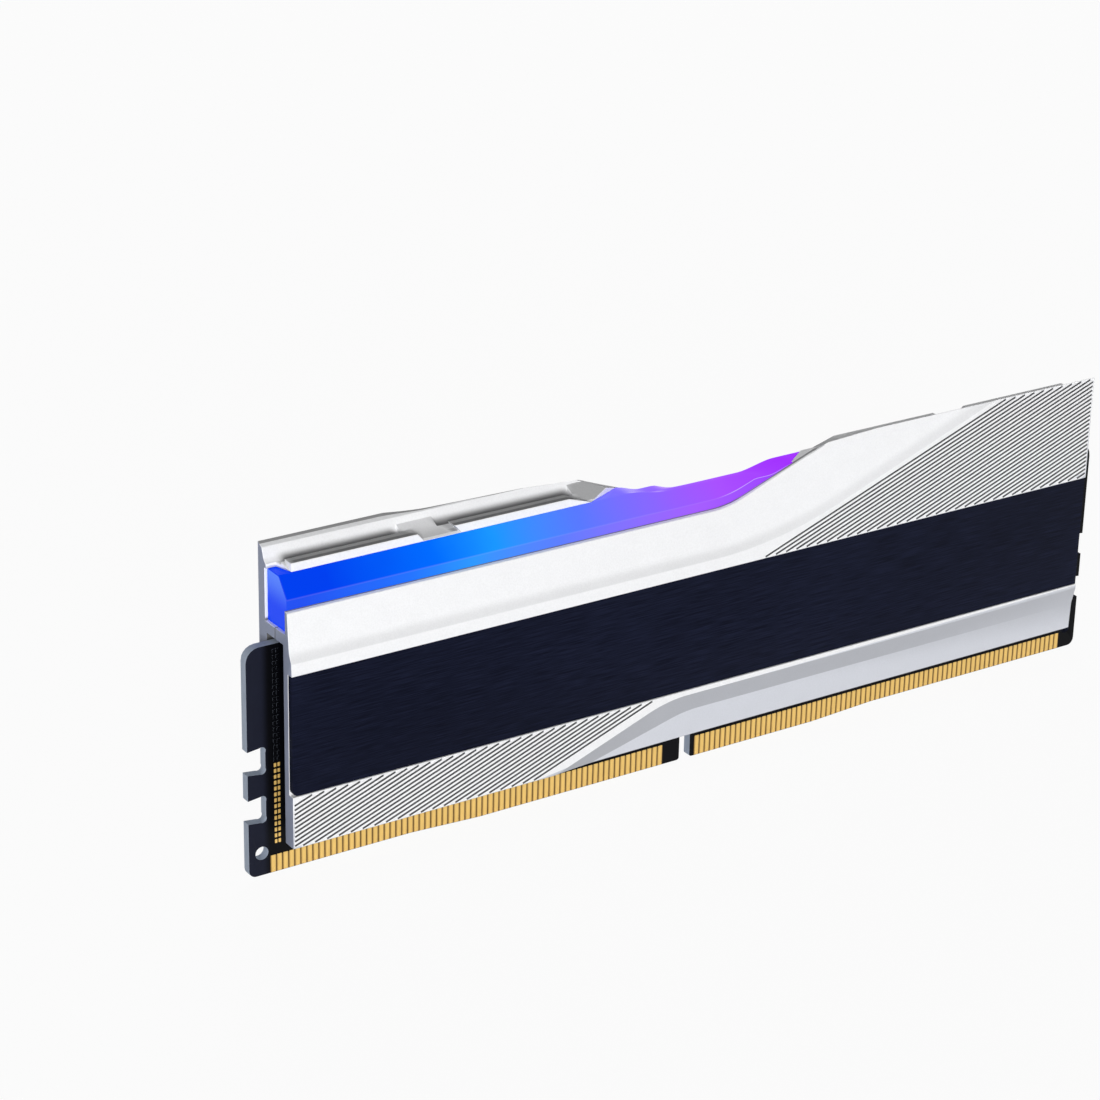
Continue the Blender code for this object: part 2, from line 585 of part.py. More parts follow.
def stripe_cutter():
    """Every stripe's groove, a sharp-bottomed channel that stops short of the face's edges."""
    inner = SPREADER_END - STRIPE_MARGIN
    upper_drop = UPPER_STRIPE_BORDER / math.cos(SLANT)
    lower_rise = LOWER_STRIPE_BORDER / math.cos(SLANT)
    upper = stripe_lines(
        BAND_TOP + STRIPE_MARGIN, SPREADER_TOP - STRIPE_MARGIN, -inner, inner,
        np.array([SWOOSH_TURN_X, SWOOSH_Z - upper_drop]), False)
    lower = stripe_lines(
        SPREADER_BOTTOM + STRIPE_MARGIN, BAND_BOTTOM - STRIPE_MARGIN, -inner, inner,
        np.array([FACET_TURN_X, FACET_Z + lower_rise]), True)
    across = np.array([-math.sin(SLANT), math.cos(SLANT)]) * STRIPE_WIDTH / 2
    proud = OUTER_FACE - STRIPE_DEPTH
    bm = bmesh.new()
    for start, end in [*upper, *lower]:
        loops = []
        for x, z in (start, end):
            corners = (
                (x - 2 * across[0], proud, z - 2 * across[1]),
                (x, OUTER_FACE + STRIPE_DEPTH, z),
                (x + 2 * across[0], proud, z + 2 * across[1]),
            )
            loops.append([bm.verts.new(corner) for corner in corners])
        for i in range(3):
            bm.faces.new((loops[0][i - 1], loops[0][i], loops[1][i], loops[1][i - 1]))
        bm.faces.new(loops[0])
        bm.faces.new(loops[1])
    return new_object("stripe_cutter", bm)


def rim_cutter():
    """Cuts the tall side's slanted rim, its inner wall and the shelf's slope to the lip."""
    rim_inner = OUTER_FACE + RIM_WIDTH
    fall = RIM_FALL / RIM_WIDTH
    wall_top = SPREADER_TOP - RIM_FALL
    outline = [
        (OUTER_FACE - BEYOND, SPREADER_TOP + BEYOND * fall),
        (rim_inner, wall_top),
        (rim_inner + RIM_WALL_LEAN, wall_top - RIM_WALL_HEIGHT),
        (SHELF_LIP, SHELF_BOTTOM + SHELF_LIP_HEIGHT),
        (SHELF_LIP + BEYOND, SHELF_BOTTOM - BEYOND),
        (SHELF_LIP + BEYOND, SPREADER_TOP + 2 * BEYOND),
        (OUTER_FACE - BEYOND, SPREADER_TOP + 2 * BEYOND),
    ]
    return bar_along_x("rim_cutter", outline, -SPREADER_END - BEYOND, SPREADER_END + BEYOND)


def trough_cutter(name, x_start, x_end):
    """A hollow behind a rail: a flat floor that curves up into the rim's inner wall."""
    wall_y = OUTER_FACE + RIM_WIDTH + RIM_WALL_LEAN
    wall_z = SPREADER_TOP - RIM_FALL - RIM_WALL_HEIGHT
    floor_z = SHELF_BOTTOM + TROUGH_FLOOR
    rail_back = SHELF_LIP - RAIL_WIDTH
    turns = np.linspace(0, math.pi / 2, 6)
    radius_y = (rail_back - wall_y) * TROUGH_CURVE
    curve_y = wall_y + radius_y * (1 - np.cos(turns))
    curve_z = floor_z + (wall_z - floor_z) * (1 - np.sin(turns))
    outline = list(zip(curve_y, curve_z))
    outline += [(rail_back, floor_z), (rail_back, SPREADER_TOP), (wall_y, SPREADER_TOP)]
    return bar_along_x(name, outline, x_start, x_end)


def shelf():
    """The block over the light bar, before its slope is cut; its ends run askew to the lip."""
    root = POCKET_FACE - FIT_GAP
    plan = [
        (SHELF_START_X, root), (SHELF_END + SHELF_END_SKEW, root),
        (SHELF_END, SHELF_LIP), (SHELF_START_X + SHELF_START_SKEW, SHELF_LIP)]
    return loft("shelf", [[(x, y, z) for x, y in plan] for z in (SHELF_BOTTOM, SPREADER_TOP)])


def rail(name, bottom_start, top_start, top_end, bottom_end):
    """A straight rib along the shelf's lip, with slanted ends."""
    low = SHELF_BOTTOM
    high = low + RAIL_HEIGHT
    outline = [(bottom_start, low), (bottom_end, low), (top_end, high), (top_start, high)]
    return plate_along_y(name, outline, SHELF_LIP - RAIL_WIDTH, SHELF_LIP)


def spreader_mesh():
    """The shape of one heat spreader, as the front one stands, with y = 0 on the turning axis."""
    far = SPREADER_END + BEYOND
    body = box(
        "spreader_form",
        (-SPREADER_END, OUTER_FACE, SPREADER_BOTTOM),
        (SPREADER_END, INNER_FACE, SPREADER_TOP + BEYOND))
    tools = []

    def apply(operation, tool):
        operation(body, tool)
        tools.append(tool)

    apply(cut, box("pocket_cutter", (-far, POCKET_FACE, LEDGE_TOP), (far, BEYOND, SHELF_BOTTOM)))
    apply(join, shelf())
    apply(join, box(
        "ledge", (-SPREADER_END, INNER_FACE - FIT_GAP, LEDGE_BOTTOM),
        (SPREADER_END, LEDGE_FACE, LEDGE_TOP)))
    for side in (-1, 1):
        ends = sorted((side * SPREADER_END, side * (SPREADER_END - LEDGE_END_LENGTH)))
        apply(join, box(
            f"ledge_end_{side}", (ends[0], LEDGE_FACE - FIT_GAP, LEDGE_BOTTOM),
            (ends[1], -FIT_GAP, LEDGE_TOP)))
    apply(cut, rim_cutter())
    apply(cut, trough_cutter("outer_trough", OUTER_TROUGH_START_X, far))
    apply(cut, trough_cutter("inner_trough", INNER_TROUGH_START_X, INNER_TROUGH_END_X))
    apply(join, rail(
        "outer_rail", OUTER_RAIL_START_X - RAIL_SLANT_RUN, OUTER_RAIL_START_X,
        SHELF_END, SHELF_END))
    apply(join, rail(
        "inner_rail", INNER_RAIL_START_X - INNER_RAIL_TAPER, INNER_RAIL_START_X,
        INNER_RAIL_END_X, INNER_RAIL_END_X - RAIL_SLANT_RUN))
    apply(cut, top_cutter())
    apply(cut, box(
        "band_cutter", (-far, OUTER_FACE - BEYOND, BAND_BOTTOM),
        (far, OUTER_FACE + BAND_DEPTH, BAND_TOP)))
    apply(cut, swoosh_cutter())
    apply(cut, facet_cutter())
    apply(cut, stripe_cutter())
    graph = bpy.context.evaluated_depsgraph_get()
    mesh = bpy.data.meshes.new_from_object(body.evaluated_get(graph))
    for obj in [body, *tools]:
        bpy.data.objects.remove(obj)
    return mesh


def place_pair(name, mesh, finish_name, look):
    """The same shape on the front and, turned half round the upright axis, on the rear."""
    for face, turn in (("front", 0), ("rear", math.pi)):
        obj = bpy.data.objects.new(f"{face}_{name}", mesh)
        bpy.context.scene.collection.objects.link(obj)
        obj.location = (0, AXIS_Y, 0)
        obj.rotation_euler = (0, 0, turn)
        finish(obj, finish_name, look)


def make_spreaders():
    place_pair("heat_spreader", spreader_mesh(), "sandblasted_silver", SILVER)


def sheet_mesh(name, half_length, bottom, top, radius, y_start, y_end):
    corners = [(-half_length, bottom), (half_length, bottom), (half_length, top), (-half_length, top)]
    sheet = plate_along_y(name, rounded(corners, [radius] * 4, steps=4), y_start, y_end)
    mesh = sheet.data
    bpy.data.objects.remove(sheet)
    return mesh


def make_inlays():
    """The dark strip in each band, and the glue sheet behind it."""
    floor = OUTER_FACE + BAND_DEPTH
    glue_face = floor - BOND_GAP - INLAY_GLUE_THICKNESS
    inlay_back = glue_face - BOND_GAP
    inlay = sheet_mesh(
        "inlay", SPREADER_END - FIT_GAP, BAND_BOTTOM + FIT_GAP, BAND_TOP - FIT_GAP,
        INLAY_CORNER_RADIUS, inlay_back - INLAY_THICKNESS, inlay_back)
    place_pair("inlay", inlay, "black_aluminium", BLACK_ALUMINIUM)
    margin = INLAY_GLUE_MARGIN
    glue = sheet_mesh(
        "inlay_glue", SPREADER_END - margin, BAND_BOTTOM + margin, BAND_TOP - margin,
        INLAY_CORNER_RADIUS, glue_face, floor - BOND_GAP)
    place_pair("inlay_glue", glue, "glue_clear", GLUE_CLEAR)


def light_section(x, top_edge):
    """The light bar's (y, z) outline at x: a wall and a slope where its spreader is low."""
    walls = []
    crowns = []
    for side_x in (x, -x):
        start, end = SHORT_DIP_RUN if side_x > 0 else LONG_DIP_RUN
        ramp = np.clip((abs(x) - start) / (end - start), 0, 1)
        crown = LIGHT_TOP - LIGHT_DIP * (1 - ramp * ramp * (3 - 2 * ramp))
        crowns.append(crown)
        walls.append(min(np.interp(side_x, *top_edge.T) + LIP_DROP, crown))
    half = LIGHT_HALF_WIDTH
    return [
        (-half, LIGHT_BOTTOM), (-half, walls[0]), (-LIGHT_CROWN_HALF, crowns[0]),
        (LIGHT_CROWN_HALF, crowns[1]), (half, walls[1]), (half, LIGHT_BOTTOM)]


def make_light_bar():
    middle = np.linspace(0, SHORT_DIP_RUN[1], 15)
    stations = np.concatenate([[-LIGHT_END], -middle[:0:-1], middle, [LIGHT_END]])
    edge = top_path()
    rings = []
    for x in stations:
        rings.append([(x, y, z) for y, z in light_section(x, edge)])
    bar = loft("light_bar", rings)
    tongue_end = LIGHT_END - TONGUE_END_INSET
    tongue = box(
        "light_tongue", (-tongue_end, -TONGUE_HALF_WIDTH, LIGHT_BOTTOM - FIT_GAP - TONGUE_REACH),
        (tongue_end, TONGUE_HALF_WIDTH, LIGHT_BOTTOM + TONGUE_REACH))
    tongue.location = bar.location = (0, AXIS_Y, 0)
    join(bar, tongue)
    finish(bar, "light_blue", LIGHT_BLUE)


def main():
    clear_scene()
    make_board()
    make_contacts()
    make_memory_chips()
    make_small_parts()
    make_pads()
    make_spreaders()
    make_inlays()
    make_light_bar()


main()
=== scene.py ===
"""Looks of the desktop memory module, laid out as a Blender add-on and run as a script.

Metres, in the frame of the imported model: X along the module, -Y its front, z = 0 its contact edge.
The rear plate is the front plate turned half round about an upright axis, so the two share a finish.
"""

import math

import bmesh
import bpy
import numpy as np
from bpy.props import FloatProperty, FloatVectorProperty, PointerProperty
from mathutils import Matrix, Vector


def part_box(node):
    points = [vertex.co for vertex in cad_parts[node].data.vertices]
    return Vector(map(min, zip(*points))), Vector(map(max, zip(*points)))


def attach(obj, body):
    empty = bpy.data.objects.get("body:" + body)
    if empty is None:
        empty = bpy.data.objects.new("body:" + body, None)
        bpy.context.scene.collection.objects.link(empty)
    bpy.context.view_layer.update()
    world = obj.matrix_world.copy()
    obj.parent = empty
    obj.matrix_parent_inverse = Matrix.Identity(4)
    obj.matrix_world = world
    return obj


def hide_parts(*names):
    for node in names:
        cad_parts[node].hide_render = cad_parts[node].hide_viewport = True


bl_info = {
    "name": "Memory module looks",
    "version": (1, 0, 0),
    "blender": (4, 5, 0),
    "location": "3D View > Sidebar > Memory Module",
    "description": "Dresses a packed memory module: plates, strips, light bar, contacts, small parts, stage",
    "category": "Object",
}

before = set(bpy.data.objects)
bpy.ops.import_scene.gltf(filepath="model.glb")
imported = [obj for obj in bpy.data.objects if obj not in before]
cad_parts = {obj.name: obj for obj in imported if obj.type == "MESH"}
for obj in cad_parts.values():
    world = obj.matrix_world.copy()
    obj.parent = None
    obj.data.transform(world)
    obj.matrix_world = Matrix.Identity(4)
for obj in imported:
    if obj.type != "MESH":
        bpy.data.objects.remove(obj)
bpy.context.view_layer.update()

MM = 0.001
BODY = "root"
SLANT = math.radians(20.0)
CORNER_STEPS = 4
FLAT_ANGLE = math.radians(0.3)
SHARP_ANGLE = math.radians(25.0)
CREASE_ANGLE = math.radians(8.0)
MERGE_DISTANCE = 1e-6
BEVEL_SHARE = 0.4
OUTWARD = 0.8

FRONT_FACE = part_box("front_heat_spreader")[0].y
REAR_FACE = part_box("rear_heat_spreader")[1].y
AXIS_Y = (FRONT_FACE + REAR_FACE) / 2
BOARD_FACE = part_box("circuit_board")[0].y
LIGHT_LOW, LIGHT_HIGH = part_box("light_bar")


def colour_prop(name, description, default):
    return FloatVectorProperty(
        name=name, description=description, default=default, size=3, subtype="COLOR", min=0, max=1)


def length_prop(name, description, default):
    return FloatProperty(
        name=name, description=description, default=default, min=0, unit="LENGTH", precision=6)


class PlateLook(bpy.types.PropertyGroup):
    silver: colour_prop("Silver", "Sandblasted faces", (0.955, 0.96, 0.975))
    # Painted bluer shade for faces that lean down
    down_facing_shade: colour_prop("Cool", "Faces that lean down", (0.90, 0.925, 1.0))
    # Painted shade: a darker blue-grey for the plates' ends
    end_shade: colour_prop("Cut end", "Sawn ends of the plates", (0.27, 0.30, 0.40))
    groove: colour_prop("Groove", "Floor of the stripes", (0.075, 0.075, 0.08))
    edge: length_prop("Edge", "Rounding of the plates' edges", 0.08 * MM)
    groove_edge: length_prop("Groove edge", "Rounding of the stripes' edges", 0.01 * MM)
    stripe_depth: length_prop("Stripe depth", "Depth of the stripes below the face", 0.14 * MM)
    grain: length_prop("Grain", "Size of the sandblasted grain", 0.2 * MM)


class StripLook(bpy.types.PropertyGroup):
    black: colour_prop("Black", "Darkest of the brushed strip", (0.003, 0.004, 0.011))
    sheen: colour_prop("Sheen", "Lightest of the brushed strip", (0.011, 0.014, 0.034))
    glue: colour_prop("Glue", "Glue sheet behind the strip", (0.6, 0.6, 0.58))
    corner: length_prop("Corner", "Radius of the strip's one round corner", 0.8 * MM)
    edge: length_prop("Edge", "Rounding of the strip's rim", 0.05 * MM)
    proud: length_prop("Proud", "How far the strip stands before its solid", 0.5 * MM)
    line_length: length_prop("Line length", "Length of the brushed lines", 5.0 * MM)
    line_width: length_prop("Line width", "Width of the brushed lines", 0.13 * MM)


class LightLook(bpy.types.PropertyGroup):
    start: colour_prop("Start", "Glow at the left end", (0.0, 0.05, 0.87))
    blue: colour_prop("Blue", "Glow a sixth of the way along", (0.0, 0.15, 1.0))
    azure: colour_prop("Azure", "Brightest glow", (0.01, 0.31, 1.0))
    lilac: colour_prop("Lilac", "Glow where blue turns to violet", (0.10, 0.19, 1.0))
    violet: colour_prop("Violet", "Glow at the middle", (0.40, 0.08, 1.0))
    purple: colour_prop("Purple", "Glow at the right end", (0.35, 0.013, 1.0))
    pale: colour_prop("Pale", "Mixed into the walls and ends", (0.15, 0.34, 1.0))
    # Painted highlight along the shoulder's crease, glowing in the emission
    shoulder_highlight: colour_prop("Streak", "Highlight along the shoulder's crease", (0.8, 0.7, 1.0))
    end_inset: length_prop("End inset", "From the plates' ends to the bar's ends", 0.3 * MM)
    half_width: length_prop("Half width", "Half of the bar's width", 2.35 * MM)
    shoulder: length_prop("Shoulder", "Height of the low shoulder", 37.55 * MM)
    crown_half: length_prop("Crown half", "Half of the crown's width", 0.45 * MM)
    dip: length_prop("Dip", "How far the crown drops at the middle", 0.9 * MM)
    turn: length_prop("Turn", "Where the shoulder starts to climb", 2.0 * MM)
    turn_run: length_prop("Turn run", "Half length of that turn", 2.47 * MM)
    rounding: length_prop("Rounding", "Reach of the rounded shoulder", 0.2 * MM)


class BoardLook(bpy.types.PropertyGroup):
    mask: colour_prop("Mask", "Dark solder mask", (0.011, 0.013, 0.026))
    rim: colour_prop("Rim", "Cut edges of the laminate", (0.40, 0.46, 0.56))
    gold: colour_prop("Gold", "Plated contacts", (0.95, 0.62, 0.18))
    # Also mixed into the gold as painted shade on the contacts' sides
    gap: colour_prop("Gap", "Between the contacts", (0.13, 0.065, 0.01))
    edge: length_prop("Edge", "Rounding of the board's edges", 0.05 * MM)
    pitch: length_prop("Pitch", "Distance between contacts", 0.85 * MM)
    finger: length_prop("Finger", "Width of a contact", 0.72 * MM)


class SmallPartLook(bpy.types.PropertyGroup):
    chip: colour_prop("Chip", "Moulded chips", (0.02, 0.02, 0.022))
    ferrite: colour_prop("Ferrite", "Inductors", (0.09, 0.09, 0.095))
    ceramic: colour_prop("Ceramic", "Capacitors", (0.33, 0.22, 0.13))
    tin: colour_prop("Tin", "Soldered ends", (0.62, 0.62, 0.60))
    lamp: colour_prop("Lamp", "Lamps under the light bar", (0.85, 0.85, 0.80))
    pad: colour_prop("Pad", "Soft heat pads", (0.35, 0.37, 0.42))
    edge: length_prop("Edge", "Rounding of the small parts", 0.06 * MM)


class StageLook(bpy.types.PropertyGroup):
    white: colour_prop("White", "Floor and backdrop", (0.86, 0.86, 0.86))
    ambient: FloatProperty(name="Ambient", description="Light from all round", default=0.17, min=0)
    front_power: FloatProperty(name="Front power", description="Front lamp", default=26.0, unit="POWER")
    rear_power: FloatProperty(name="Rear power", description="Rear lamp", default=16.0, unit="POWER")
    camera_place: FloatVectorProperty(
        name="Camera place", description="Where the camera stands", size=3, subtype="TRANSLATION",
        default=(-231.586 * MM, -311.459 * MM, 194.919 * MM))
    camera_turn: FloatVectorProperty(
        name="Camera turn", description="How the camera is turned", size=3, subtype="EULER",
        default=(math.radians(66.8169), math.radians(-1.1349), math.radians(-33.3071)))
    camera_lens: FloatProperty(
        name="Camera lens", description="Focal length on a 36 mm sensor", default=106.757, unit="CAMERA")


class ModuleLook(bpy.types.PropertyGroup):
    plate: PointerProperty(type=PlateLook, name="Plates", description="Heat spreaders")
    strip: PointerProperty(type=StripLook, name="Strips", description="Dark strips and their glue")
    light: PointerProperty(type=LightLook, name="Light bar", description="Glowing bar")
    board: PointerProperty(type=BoardLook, name="Board", description="Circuit board and contacts")
    small: PointerProperty(type=SmallPartLook, name="Small parts", description="Chips, lamps, pads")
    stage: PointerProperty(type=StageLook, name="Stage", description="Floor, lamps and camera")


# Shader maths

class Value:
    """A shader output that takes part in arithmetic: each operation adds a Math node."""

    def __init__(self, tree, socket):
        self.tree = tree
        self.socket = socket

    def math(self, operation, *operands):
        node = self.tree.nodes.new("ShaderNodeMath")
        node.operation = operation
        for socket, operand in zip(node.inputs, operands):
            plug(self.tree, socket, operand)
        return Value(self.tree, node.outputs[0])

    def __add__(self, other):
        return self.math("ADD", self, other)

    def __radd__(self, other):
        return self.math("ADD", other, self)

    def __sub__(self, other):
        return self.math("SUBTRACT", self, other)

    def __rsub__(self, other):
        return self.math("SUBTRACT", other, self)

    def __mul__(self, other):
        return self.math("MULTIPLY", self, other)

    def __rmul__(self, other):
        return self.math("MULTIPLY", other, self)

    def __truediv__(self, other):
        return self.math("DIVIDE", self, other)

    def __abs__(self):
        return self.math("ABSOLUTE", self)

    def top(self, other):
        return self.math("MAXIMUM", self, other)


def plug(tree, socket, value):
    """Links a Value to a socket, or sets the socket to a number, colour or vector."""
    if isinstance(value, Value):
        tree.links.new(value.socket, socket)
    elif hasattr(value, "__len__") and socket.type == "RGBA":
        socket.default_value = (*value[:3], 1.0)
    else:
        socket.default_value = value


class Finish:
    """A material whose nodes are added by expressions."""

    def __init__(self, name, **constants):
        self.material = bpy.data.materials.new(name)
        self.material.use_nodes = True
        self.tree = self.material.node_tree
        self.shader = self.tree.nodes["Principled BSDF"]
        self.set(**constants)

    def set(self, **sockets):
        """Sets or links the shader's sockets, named with _ for a space."""
        for name, value in sockets.items():
            plug(self.tree, self.shader.inputs[name.replace("_", " ").title().replace("Ior", "IOR")], value)

    def node(self, kind, settings=None, inputs=None, output=0):
        """Adds any node: its settings first, then its sockets' values or links."""
        node = self.tree.nodes.new(kind)
        for name, value in (settings or {}).items():
            if name == "stops":
                set_stops(node.color_ramp, value)
            else:
                setattr(node, name, value)
        for name, value in (inputs or {}).items():
            plug(self.tree, node.inputs[name], value)
        return Value(self.tree, node.outputs[output])

    def place(self):
        return self.node("ShaderNodeTexCoord", output="Object")

    def parts(self, vector):
        """The three numbers of a vector."""
        return [self.node("ShaderNodeSeparateXYZ", None, {0: vector}, axis) for axis in range(3)]

    def normal(self):
        return self.parts(self.node("ShaderNodeNewGeometry", output="Normal"))

    def stretched(self, sizes):
        """Object coordinates divided by a pattern's size along each axis."""
        scale = tuple(1 / size for size in sizes)
        return self.node("ShaderNodeMapping", None, {"Vector": self.place(), "Scale": scale})

    def noise(self, vector, detail=2.0, roughness=0.5):
        return self.node("ShaderNodeTexNoise", None, {
            "Vector": vector, "Scale": 1.0, "Detail": detail, "Roughness": roughness})

    def fade(self, value, low, high):
        """0 below low, 1 above high, smooth between."""
        return self.node("ShaderNodeMapRange", {"interpolation_type": "SMOOTHSTEP"}, {
            "Value": value, "From Min": low, "From Max": high})

    def mix(self, share, first, second):
        """The first colour where share is 0, the second where it is 1."""
        return self.node("ShaderNodeMix", {"data_type": "RGBA"}, {0: share, 6: first, 7: second}, 2)

    def bump(self, height, depth, strength=1.0):
        return self.node("ShaderNodeBump", None, {
            "Height": height, "Distance": depth, "Strength": strength})


def set_stops(ramp, stops):
    """Gives a colour ramp its (place, colour) stops."""
    while len(ramp.elements) < len(stops):
        ramp.elements.new(1.0)
    for element, (place, colour) in zip(ramp.elements, stops):
        element.position = place
        element.color = (*colour[:3], 1.0)


# Finishes

# Painted shade by how far a face looks up: the plates' colour is scaled down on faces that lean down and on
# faces that look up
SHADE_BY_FACING = tuple((0.5 + 0.5 * rise, (shading,) * 3) for rise, shading in (
    (-0.3, 0.52), (-0.2, 0.54), (-0.06, 0.76), (-0.03, 0.78), (-0.01, 1.0), (0.45, 1.0), (0.72, 0.6),
    (0.9, 0.36), (1.0, 0.27)))

# Ends of smooth steps that place the plates' painted shade, in millimetres along the module, up it or behind
# its axis
MIDDLE_STEP = (-0.005, 0.005)
AXIS_STEP = (-0.02, 0.02)
REAR_STEP = (-0.7, -0.5)
TROUGHS_START = (-61.2, -59.6)
TROUGHS_END = (-20.5, -18.5)
BRIDGE_START = (-43.6, -42.2)
BRIDGE_END = (-38.6, -37.4)
BRIDGE_SKEW = 0.75
BRIDGE_FRONT = (0.0, 1.8)
RAIL_START = (0.4, 0.5)
RAIL_END = (1.15, 1.25)
TROUGH_WALL = (1.25, 1.3)
TROUGH_DEPTH = (40.7, 41.8)
TROUGH_FLOOR = (40.4, 40.5)
RIM_START = (3.48, 3.56)
RIM_WIDENS = (-46.5, -39.5)
RIM_WIDENS_MORE = (-36.0, -22.0)
RIM_FOOT = (36.0, 37.0)
LIP_START = (2.3, 2.4)
LIP_END = (2.58, 2.66)
LIP_FOOT = (34.0, 35.0)
LOW_END = (-16.5, -15.5)
FLARE_FOOT = (29.0, 29.5)
INNER_SHADE_TOP = (33.4, 33.8)
SHADED_ENDS = (62.2, 62.4)


def sandblasted_silver(look):
    """Pale sandblasted metal with painted shade: darker and bluer where it leans down, a darker blue-grey
    painted on the ends as their shade, and dark painted shade on the faces turned towards the module's
    middle, below the light bar.

    A tall end's rim, troughs and rail tops get painted shade too where they face up, deepest on the troughs'
    floors, and it fades out by the troughs' ends; a low end has painted shade along its inner edge by the
    light bar and a faint painted shade at the foot of its flare. The right half is measured turned half
    round, so that both plates' tall ends share the numbers.
    """
    f = Finish("sandblasted_silver", metallic=0.1, specular_ior_level=0.3)
    fine = f.fade(f.noise(f.stretched([look.grain] * 3)), 0.3, 0.7)
    broad = f.noise(f.stretched([14 * look.grain] * 3), detail=3.0)
    across, y, z = (place / MM for place in f.parts(f.place()))
    nx, ny, nz = f.normal()
    x = 0.0 - abs(across)
    left = 1.0 - f.fade(across, *MIDDLE_STEP)
    turned = 2.0 * left - 1.0
    behind = turned * (y - AXIS_Y / MM)
    outward = turned * ny * (2.0 * f.fade(behind, *AXIS_STEP) - 1.0)
    hidden = 1.0 - f.fade(outward, 0.05, 0.3)
    skewed = x + BRIDGE_SKEW * behind
    bridge = f.fade(skewed, *BRIDGE_START) * (1.0 - f.fade(skewed, *BRIDGE_END))
    troughs = f.fade(x, *TROUGHS_START) * (1.0 - bridge) * (1.0 - f.fade(x, *TROUGHS_END))
    lighter = f.fade(behind, *RAIL_START) * (1.0 - f.fade(behind, *RAIL_END))
    widened = 0.36 * f.fade(x, *RIM_WIDENS) + 0.5 * f.fade(x, *RIM_WIDENS_MORE)
    rim = f.fade(behind + widened, *RIM_START).top(0.6 * f.fade(x, *TROUGHS_END))
    lip = f.fade(abs(behind), *LIP_START) * (1.0 - f.fade(abs(behind), *LIP_END)) * f.fade(nz, 0.5, 0.9)
    rails = troughs * (1.0 - 0.35 * lighter) * (1.0 - f.fade(behind, *TROUGH_WALL))
    shelf = rails.top(0.45 * bridge * (1.0 - f.fade(behind, *BRIDGE_FRONT)))
    # Painted shade deepening towards the troughs' floors
    depth = (1.0 - f.fade(z, *TROUGH_DEPTH)) * f.fade(behind, *TROUGH_WALL) * f.fade(nz, -0.3, -0.1)
    rear = f.fade(behind, *REAR_STEP)
    low_end = 1.0 - rear * (1.0 - f.fade(x, *LOW_END))
    # Where faces that look up take the painted shade: a tall end's rim, rails and troughs, and a low end's
    # lip
    shaded_tops = left * rear * f.fade(z, *RIM_FOOT) * shelf.top(rim) * hidden
    shaded_tops = shaded_tops.top(low_end * f.fade(z, *LIP_FOOT) * lip)
    # Painted shade by facing: on all faces that lean down, and on the faces that look up where masked above
    shading = f.node("ShaderNodeValToRGB", {"stops": SHADE_BY_FACING}, {"Fac": 0.5 * nz + 0.5})
    shading = 1.0 - (1.0 - shading) * shaded_tops.top(1.0 - f.fade(nz, 0.0, 0.06))
    shading = shading * (1.0 - 0.74 * depth * troughs * hidden * f.fade(z, *TROUGH_FLOOR))
    # Faint painted shade at the foot of the flare
    flare = f.fade(nz, 0.1, 0.44) * (1.0 - f.fade(nz, 0.5, 0.6)) * f.fade(outward, 0.3, 0.6)
    flare = flare * f.fade(z, *FLARE_FOOT)
    # Painted shade on the faces turned towards the module's middle, below the light bar's seat
    inner_shade = (1.0 - f.fade(outward, -0.6, -0.2)) * (1.0 - f.fade(z, *INNER_SHADE_TOP))
    # Painted bluer shade on faces that lean down
    silver = f.mix(1.0 - f.fade(nz, -0.03, -0.005), look.silver, look.down_facing_shade)
    grain_and_shade = (0.915 + 0.045 * fine + 0.04 * broad) * shading * (1.0 - 0.85 * inner_shade) * (1.0 - 0.12 * flare)
    # A darker blue-grey painted on the plates' ends as their shade
    end = f.fade(abs(nx), 0.75, 0.98) * f.fade(abs(x), *SHADED_ENDS)
    f.set(base_color=f.mix(end, f.mix(grain_and_shade, (0.0, 0.0, 0.0), silver), look.end_shade),
          roughness=0.48 + 0.16 * fine, normal=f.bump(fine, 0.012 * MM, 0.5))
    return f.material


def etched_groove(look):
    """Dark rough floor of the stripes."""
    f = Finish("etched_groove", metallic=0.1)
    grain = f.noise(f.stretched([look.grain] * 3))
    f.set(base_color=f.mix(grain, tuple(0.8 * c for c in look.groove), look.groove),
          roughness=0.6 + 0.2 * grain)
    return f.material


def brushed_black(look):
    """Near-black metal with fine lines along X."""
    f = Finish("brushed_black", metallic=0.1, specular_ior_level=0.03)
    lines = f.noise(f.stretched([look.line_length, 1.0, look.line_width]), detail=3.0, roughness=0.65)
    patches = f.noise(f.stretched([45 * MM, 1.0, 30 * MM]), detail=1.0)
    share = f.fade(0.75 * lines + 0.25 * patches, 0.34, 0.68)
    f.set(base_color=f.mix(share, look.black, look.sheen), roughness=0.38 + 0.2 * lines,
          normal=f.bump(lines, 0.008 * MM, 0.6))
    return f.material


def clear_glue(look):
    f = Finish("clear_glue", roughness=0.35)
    cloud = f.noise(f.stretched([2.5 * MM] * 3))
    f.set(base_color=f.mix(cloud, tuple(0.8 * c for c in look.glue), look.glue))
    return f.material


